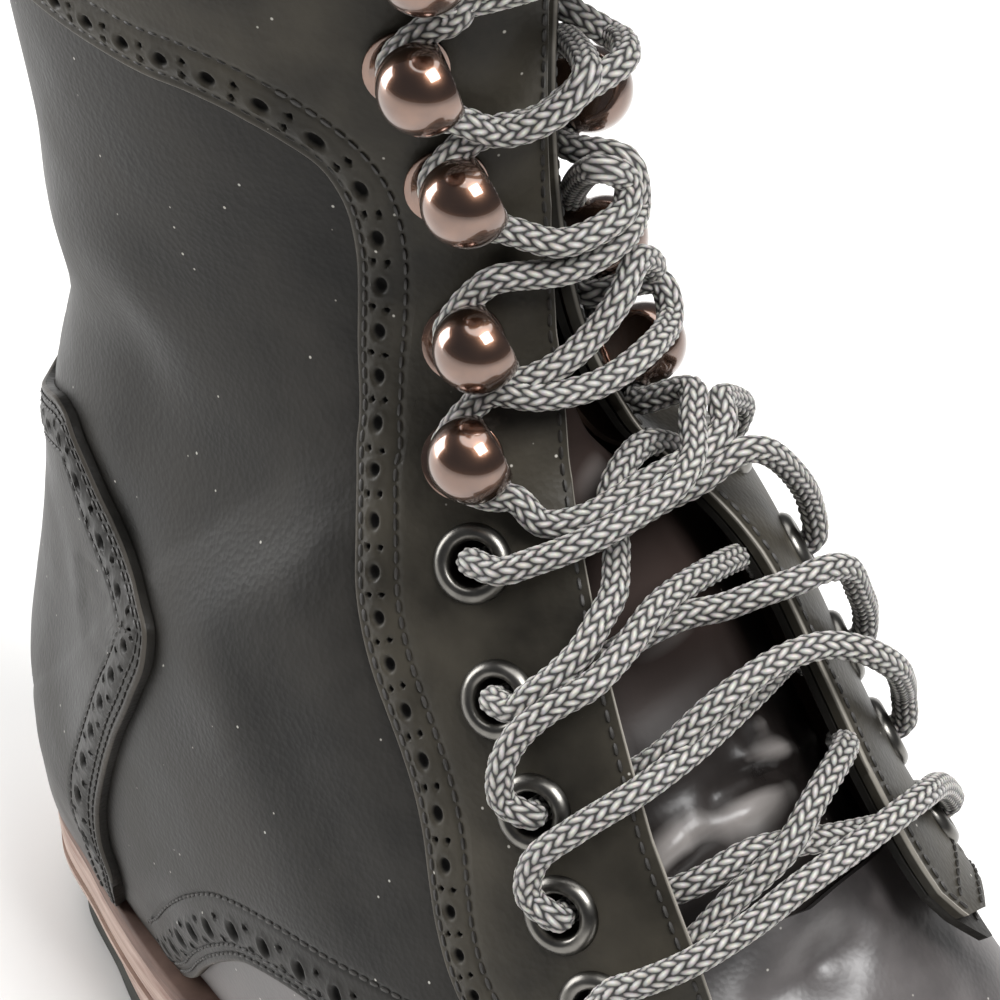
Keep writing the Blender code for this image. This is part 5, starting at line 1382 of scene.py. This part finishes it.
# Free stretches of each strand: station, millimetres across the top line (lateral negative), height over the
# flaps. Each strand's ends are an eyelet ("out" from its front, "in" from behind) or a hook ("low" or "high"
# side of its post).
STRANDS = (
    ("lace_bar", ("out", -1, 1), ("out", 1, 1),
     ((5.52, -24.6, 5.3), (5.49, -21.9, 5.6), (5.46, -17.1, 6.0), (5.47, -11.4, 6.5), (5.51, -6.5, 7.0),
      (5.54, 0.1, 7.0), (5.58, 8.0, 7.0), (5.57, 15.0, 6.6), (5.53, 22.0, 5.8))),
    ("lace_crossing_1", ("in", -1, 1), ("in", 1, 2),
     ((5.49, -19.6, -2.5), (5.48, -16.1, -1.0), (5.56, -10.9, 1.0), (5.65, -4.9, 3.0), (5.78, 0.1, 2.5),
      (5.90, 7.5, 0.0), (5.93, 16.0, -2.8))),
    ("lace_crossing_1", ("in", 1, 1), ("in", -1, 2),
     ((5.47, 19.0, -2.8), (5.48, 9.5, -1.5), (5.55, 2.3, -0.8), (5.64, -3.4, -0.6), (5.69, -7.2, -0.6),
      (5.70, -13.0, -1.2), (5.76, -18.5, -2.8))),
    ("lace_crossing_2", ("out", -1, 2), ("in", 1, 3),
     ((6.10, -28.3, 5.6), (6.22, -25.8, 6.6), (6.24, -21.0, 6.6), (6.24, -18.4, 6.0), (6.24, -14.6, 4.8),
      (6.27, -8.1, 2.6), (6.33, -1.6, 0.8), (6.40, 6.0, -1.5), (6.41, 15.0, -2.8))),
    ("lace_crossing_2", ("out", 1, 2), ("in", -1, 3),
     ((6.05, 23.0, 6.0), (6.10, 16.5, 7.6), (6.20, 11.0, 8.6), (6.34, 7.2, 8.4), (6.43, 4.5, 7.4),
      (6.46, 0.5, 6.2), (6.41, -5.6, 4.8), (6.31, -11.6, 1.6), (6.30, -16.5, -2.6))),
    ("lace_crossing_3", ("out", -1, 3), ("in", 1, 4),
     ((6.54, -26.6, 5.6), (6.68, -25.0, 6.8), (6.77, -22.4, 7.0), (6.81, -19.1, 6.8), (6.81, -16.6, 6.4),
      (6.81, -14.5, 6.0), (6.88, -10.9, 4.5), (7.00, -6.1, 2.5), (7.02, 2.0, -0.8), (7.00, 13.0, -2.8))),
    ("lace_crossing_3", ("out", 1, 3), ("in", -1, 4),
     ((6.50, 21.5, 6.0), (6.60, 15.5, 7.6), (6.74, 10.9, 8.4), (6.79, 7.6, 7.8), (6.79, 5.3, 6.5),
      (6.81, 2.3, 4.6), (6.82, -0.5, 2.2), (6.86, -3.1, 0.4), (6.87, -6.9, -1.2), (6.86, -12.5, -2.8))),
    ("lace_crossing_4", ("out", -1, 4), ("in", 1, 5),
     ((6.90, -21.6, 5.8), (6.92, -19.6, 6.2), (6.94, -17.0, 6.0), (7.00, -14.0, 5.4), (7.10, -11.5, 4.2),
      (7.19, -9.2, 3.0), (7.33, -7.4, 1.4), (7.43, -6.2, 0.4), (7.71, -4.2, -0.4), (7.83, -1.9, -0.8),
      (7.95, 5.0, -2.2), (7.86, 13.0, -3.0))),
    ("lace_crossing_4", ("out", 1, 4), ("in", -1, 5),
     ((7.18, 20.0, 6.2), (7.40, 14.0, 8.0), (7.62, 9.6, 8.8), (7.70, 7.2, 8.4), (7.67, 5.6, 6.6),
      (7.60, 3.5, 4.2), (7.57, 0.6, 1.4), (7.53, -2.4, -0.8), (7.50, -7.1, -2.6), (7.66, -13.0, -3.2))),
    ("lace_crossing_5", ("out", -1, 5), ("low", 1, 1),
     ((7.67, -17.9, 6.0), (7.63, -14.9, 6.4), (7.60, -11.2, 6.8), (7.60, -8.1, 7.0), (7.63, -4.5, 7.2),
      (7.69, -0.5, 7.4), (7.83, 2.6, 7.2), (8.08, 5.0, 6.2), (8.28, 8.0, 5.0))),
    ("lace_crossing_5", ("out", 1, 5), ("low", -1, 1),
     ((7.95, 17.5, 5.6), (8.06, 12.0, 6.6), (8.10, 8.6, 7.6), (7.92, 7.0, 8.0), (7.82, 4.6, 7.0),
      (7.78, 1.5, 5.2), (7.75, -1.9, 3.8), (7.72, -5.4, 3.4), (7.72, -8.8, 3.5), (7.83, -12.6, 4.0))),
    ("lace_crossing_6", ("high", -1, 1), ("low", 1, 2),
     ((8.86, -8.8, 4.8), (8.76, -3.3, 5.2), (8.86, 1.2, 5.8), (9.00, 7.0, 6.4), (9.30, 7.4, 6.6))),
    ("lace_crossing_6", ("high", 1, 1), ("low", -1, 2),
     ((9.50, 6.7, 6.4), (9.66, 2.0, 5.6), (9.46, 0.2, 5.4), (9.16, -2.3, 4.6), (9.04, -6.0, 4.2))),
    ("lace_crossing_7", ("high", -1, 2), ("low", 1, 3),
     ((9.82, -3.5, 4.8), (9.92, 0.2, 5.8), (10.10, 3.6, 6.2), (10.72, 3.0, 5.4))),
    ("lace_crossing_7", ("high", 1, 2), ("low", -1, 3),
     ((10.88, -0.3, 5.6), (10.62, 0.5, 6.4), (10.32, 0.2, 7.0), (10.18, -1.3, 6.8), (10.16, -4.5, 6.0))),
    ("lace_crossing_8", ("high", -1, 3), ("low", 1, 4),
     ((11.58, -5.8, 4.4), (11.72, -2.6, 4.6), (11.84, 0.8, 5.2), (11.92, 5.0, 5.0), (11.98, 9.5, 4.2))),
    ("lace_crossing_8", ("high", 1, 3), ("low", -1, 4),
     ((11.94, -2.5, 6.4), (11.78, -4.0, 6.6), (11.64, -6.3, 6.0), (11.60, -9.8, 4.6))),
    ("lace_crossing_9", ("high", -1, 4), ("low", 1, 5),
     ((12.85, -13.0, 4.6), (13.00, -8.0, 5.0), (13.05, -2.0, 5.2), (13.05, 4.0, 5.0))),
    ("lace_crossing_9", ("high", 1, 4), ("low", -1, 5),
     ((12.95, 6.0, 5.4), (12.92, 1.0, 7.4), (12.90, -5.6, 6.4))),
)


def over_throat(rows):
    """Lace places: each on its own side of the top line, at its height over the flaps."""
    rows = np.array(rows)
    points = np.empty((len(rows), 3))
    for side in SIDES:
        ours = rows[:, 1] < 0 if side < 0 else rows[:, 1] >= 0
        station, across, height = rows[ours].T
        passed = eased((across - INNER_FROM) / INNER_OVER)
        lifts = [flap_lift(station, other, np.abs(across)) for other in SIDES]
        raised = height + lifts[0] + (lifts[1] - lifts[0]) * passed
        points[ours] = on_last(station, side, np.abs(across), raised)
    return points


def lace_end(kind, side, number):
    """How a strand ends, outermost point last: down or behind an eyelet, or round a hook's post."""
    if kind in ("out", "in"):
        centre, axes = eyelet_seats[side, number]
        local = ((0.6, 0.0, 2.2), (0.0, 0.0, -0.6), (0.0, 0.0, UNDER_FLAP - FACING_OFFSET))
        if kind == "in":
            local = ((3.0, 0.0, UNDER_FLAP - FACING_OFFSET + 0.4), (0.0, 0.0, UNDER_FLAP - FACING_OFFSET))
        return centre + np.array(local) @ axes * MM
    centre, axes = hook_seats[side, number]
    up = 1 if axes[1, 2] > 0 else -1
    way = up if kind == "high" else -up
    local = ((2.6, 5.4, 2.4), (-0.2, 4.9, 2.0), (-2.6, 4.0, 2.0), (-5.0, 2.4, 2.0), (-5.8, 0.0, 2.0))
    if kind == "low":
        local = ((-0.6, 6.4, 2.4), (-3.2, 4.9, 2.0), (-5.2, 2.6, 2.0), (-5.8, 0.0, 2.0))
    local = np.array(local) * (1, way, 1)
    return centre + local @ axes * MM


def strand_shape(start, end, rows):
    """A braided cord along a smooth curve through its places: rings set square to the curve, carried along it
    without twist, whose radius swells and dips with the braid. The two families of yarns wind opposite ways,
    and each yarn passes over two of the others and under two in turn."""
    knots = np.concatenate([lace_end(*start)[::-1], over_throat(rows), lace_end(*end)])
    length = np.concatenate([[0], np.cumsum(np.linalg.norm(np.diff(knots, axis=0), axis=1) ** 0.5)])
    fine = np.linspace(0, length[-1], PATH_STEPS)
    path = np.stack([smooth(length, knots[:, k], fine) for k in range(3)], axis=1)
    for _ in range(PATH_AVERAGES):
        path[1:-1] = 0.5 * path[1:-1] + 0.25 * (path[:-2] + path[2:])
    run = run_along(path) / MM
    count = int(run[-1] / LACE_STEP)
    along = np.linspace(0, run[-1], count)
    path = read_line(along, run, path)
    ahead = unit_length(np.gradient(path, axis=0))
    sides = unit_length(np.cross(ahead, RING_START))
    ups = np.cross(sides, ahead)
    bend = ahead[:-1] + ahead[1:]
    carried = sides[:-1] - bend * ((sides[:-1] * ahead[1:]).sum(axis=1)
                                   / (1 + (ahead[:-1] * ahead[1:]).sum(axis=1)))[:, None]
    turn = np.arctan2((carried * ups[1:]).sum(axis=1), (carried * sides[1:]).sum(axis=1))
    turn = np.concatenate([[0], np.cumsum(turn)])[:, None]
    sides, ups = sides * np.cos(turn) + ups * np.sin(turn), ups * np.cos(turn) - sides * np.sin(turn)
    share = np.linspace(0, 1, LACE_AROUND + 1)[None]
    one = YARNS * share + along[:, None] / BRAID_STEP
    two = YARNS * share - along[:, None] / BRAID_STEP
    phase = np.mod(np.floor(one) + np.floor(two), 4)
    over = phase < 2
    wide = np.where(over, np.mod(one, 1), np.mod(two, 1)) - 0.5
    long = np.where(over, phase + np.mod(two, 1), phase - 2 + np.mod(one, 1)) / 2 - 0.5
    swell = np.sqrt(np.clip(1 - (YARN_ROUND * wide) ** 2, 0, 1))
    swell = swell * np.sqrt(np.clip(1 - (YARN_ROUND * long) ** 2, 0, 1))
    radius = (LACE_RADIUS - YARN_BED + YARN_SWELL * swell[:, :-1]) * MM
    angle = 2 * math.pi * share[:, :-1]
    points = path[:, None] + (sides[:, None] * np.cos(angle)[..., None]
                              + ups[:, None] * np.sin(angle)[..., None]) * radius[..., None]
    points = points.reshape(-1, 3)
    shape = (points, *outward(points, tube_faces(count, LACE_AROUND), tube_caps(count, LACE_AROUND)))
    wrap = np.stack(np.broadcast_arrays(share[:, :-1], along[:, None]), axis=2)
    return shape, wrap.reshape(-1, 2), run[-1]


def braided_cotton():
    """Braided grey cotton. The yarn on top and the place across it come from the turn round the cord and the
    length along it, as in the mesh, so that dark gaps lie between the yarns."""
    material, tree, shader = new_material("braided_grey_cotton")
    wrap = add_node(tree, "ShaderNodeUVMap", uv_map="wrap").outputs["UV"]
    turn, along, _ = add_node(tree, "ShaderNodeSeparateXYZ", {0: wrap}).outputs
    climb = add_node(tree, "ShaderNodeMath", {0: along, 1: 1 / BRAID_STEP}, operation="MULTIPLY").outputs[0]
    ways = []
    for sign in (1.0, -1.0):
        lean = add_node(tree, "ShaderNodeMath", {0: climb, 1: sign}, operation="MULTIPLY").outputs[0]
        winding = add_node(tree, "ShaderNodeMath", {0: turn, 1: float(YARNS), 2: lean},
                           operation="MULTIPLY_ADD").outputs[0]
        whole = add_node(tree, "ShaderNodeMath", {0: winding}, operation="FLOOR").outputs[0]
        part = add_node(tree, "ShaderNodeMath", {0: winding, 1: whole}, operation="SUBTRACT").outputs[0]
        centred = add_node(tree, "ShaderNodeMath", {0: part, 1: 0.5}, operation="SUBTRACT").outputs[0]
        ways.append((whole, centred))
    (first_whole, first_part), (second_whole, second_part) = ways
    total = add_node(tree, "ShaderNodeMath", {0: first_whole, 1: second_whole}, operation="ADD").outputs[0]
    quarter_turn = add_node(tree, "ShaderNodeMath", {0: total, 1: 0.25}, operation="MULTIPLY").outputs[0]
    cycle = add_node(tree, "ShaderNodeMath", {0: quarter_turn}, operation="FRACT").outputs[0]
    under = add_node(tree, "ShaderNodeMath", {0: cycle, 1: 0.4}, operation="GREATER_THAN").outputs[0]
    wide = add_node(tree, "ShaderNodeMix", {"Factor": under, "A": first_part, "B": second_part})
    across = add_node(tree, "ShaderNodeMix", {"Factor": under, "A": second_part, "B": first_part})
    start = add_node(tree, "ShaderNodeMath", {0: under, 1: -1.0, 2: -0.25}, operation="MULTIPLY_ADD").outputs[0]
    passed = add_node(tree, "ShaderNodeMath", {0: cycle, 1: 2.0, 2: start}, operation="MULTIPLY_ADD").outputs[0]
    long = add_node(tree, "ShaderNodeMath", {0: across.outputs["Result"], 1: 0.5, 2: passed},
                    operation="MULTIPLY_ADD").outputs[0]
    place = add_node(tree, "ShaderNodeCombineXYZ", {0: wide.outputs["Result"], 1: long}).outputs[0]
    scaled = add_node(tree, "ShaderNodeVectorMath", {0: place, 1: (2.0, 1.9, 1.0)}, operation="MULTIPLY")
    reach = add_node(tree, "ShaderNodeVectorMath", {0: scaled.outputs[0]}, operation="LENGTH").outputs["Value"]
    # Painted highlight on each yarn's middle, through the cotton's grey to painted shade in the gaps.
    ramp = add_node(tree, "ShaderNodeValToRGB", {"Fac": reach})
    for stop, position, tone in zip(ramp.color_ramp.elements, (0.2, 0.98), (YARN_HIGHLIGHT, YARN_GAP_SHADE)):
        stop.position = position
        stop.color = linear(tone)
    ramp.color_ramp.elements.new(0.7).color = linear(YARN_MIDDLE)
    room = add_node(tree, "ShaderNodeTexCoord").outputs["Object"]
    fibre = add_node(tree, "ShaderNodeTexNoise", {"Vector": room, "Scale": 2600.0, "Detail": 2.0})
    colour = add_node(tree, "ShaderNodeMix", {"Factor": 0.35, "A": ramp.outputs["Color"],
                                              "B": fibre.outputs["Color"]}, data_type="RGBA",
                      blend_type="SOFT_LIGHT")
    fall = add_node(tree, "ShaderNodeMath", {0: 1.0, 1: reach}, operation="SUBTRACT").outputs[0]
    bump = add_node(tree, "ShaderNodeBump", {"Height": fall, "Strength": 0.5, "Distance": 0.0003})
    set_inputs(tree, shader, {"Base Color": colour.outputs["Result"], "Roughness": 0.6, "Sheen Weight": 0.2,
                              "Normal": bump.outputs["Normal"]})
    return material


cotton = braided_cotton()
for lace_name in dict.fromkeys(strand[0] for strand in STRANDS):
    made = [strand_shape(*strand[1:]) for strand in STRANDS if strand[0] == lace_name]
    cord = joined([strand[0] for strand in made])
    piece = new_piece(lace_name, cord, cotton, [lace_name], sharp=180)
    wraps = np.concatenate([strand[1] for strand in made])
    corners = np.empty(len(piece.data.loops), np.int32)
    piece.data.loops.foreach_get("vertex_index", corners)
    wrap = wraps[corners].reshape(-1, 2)
    starts = np.empty(len(piece.data.polygons), np.int32)
    piece.data.polygons.foreach_get("loop_start", starts)
    totals = np.empty(len(piece.data.polygons), np.int32)
    piece.data.polygons.foreach_get("loop_total", totals)
    owner = np.repeat(np.arange(len(starts)), totals)
    most = np.maximum.reduceat(wrap[:, 0], starts)[owner]
    wrap[:, 0] += (most - wrap[:, 0]) > 0.5
    piece.data.uv_layers.new(name="wrap").data.foreach_set("uv", wrap.astype(np.float32).ravel())
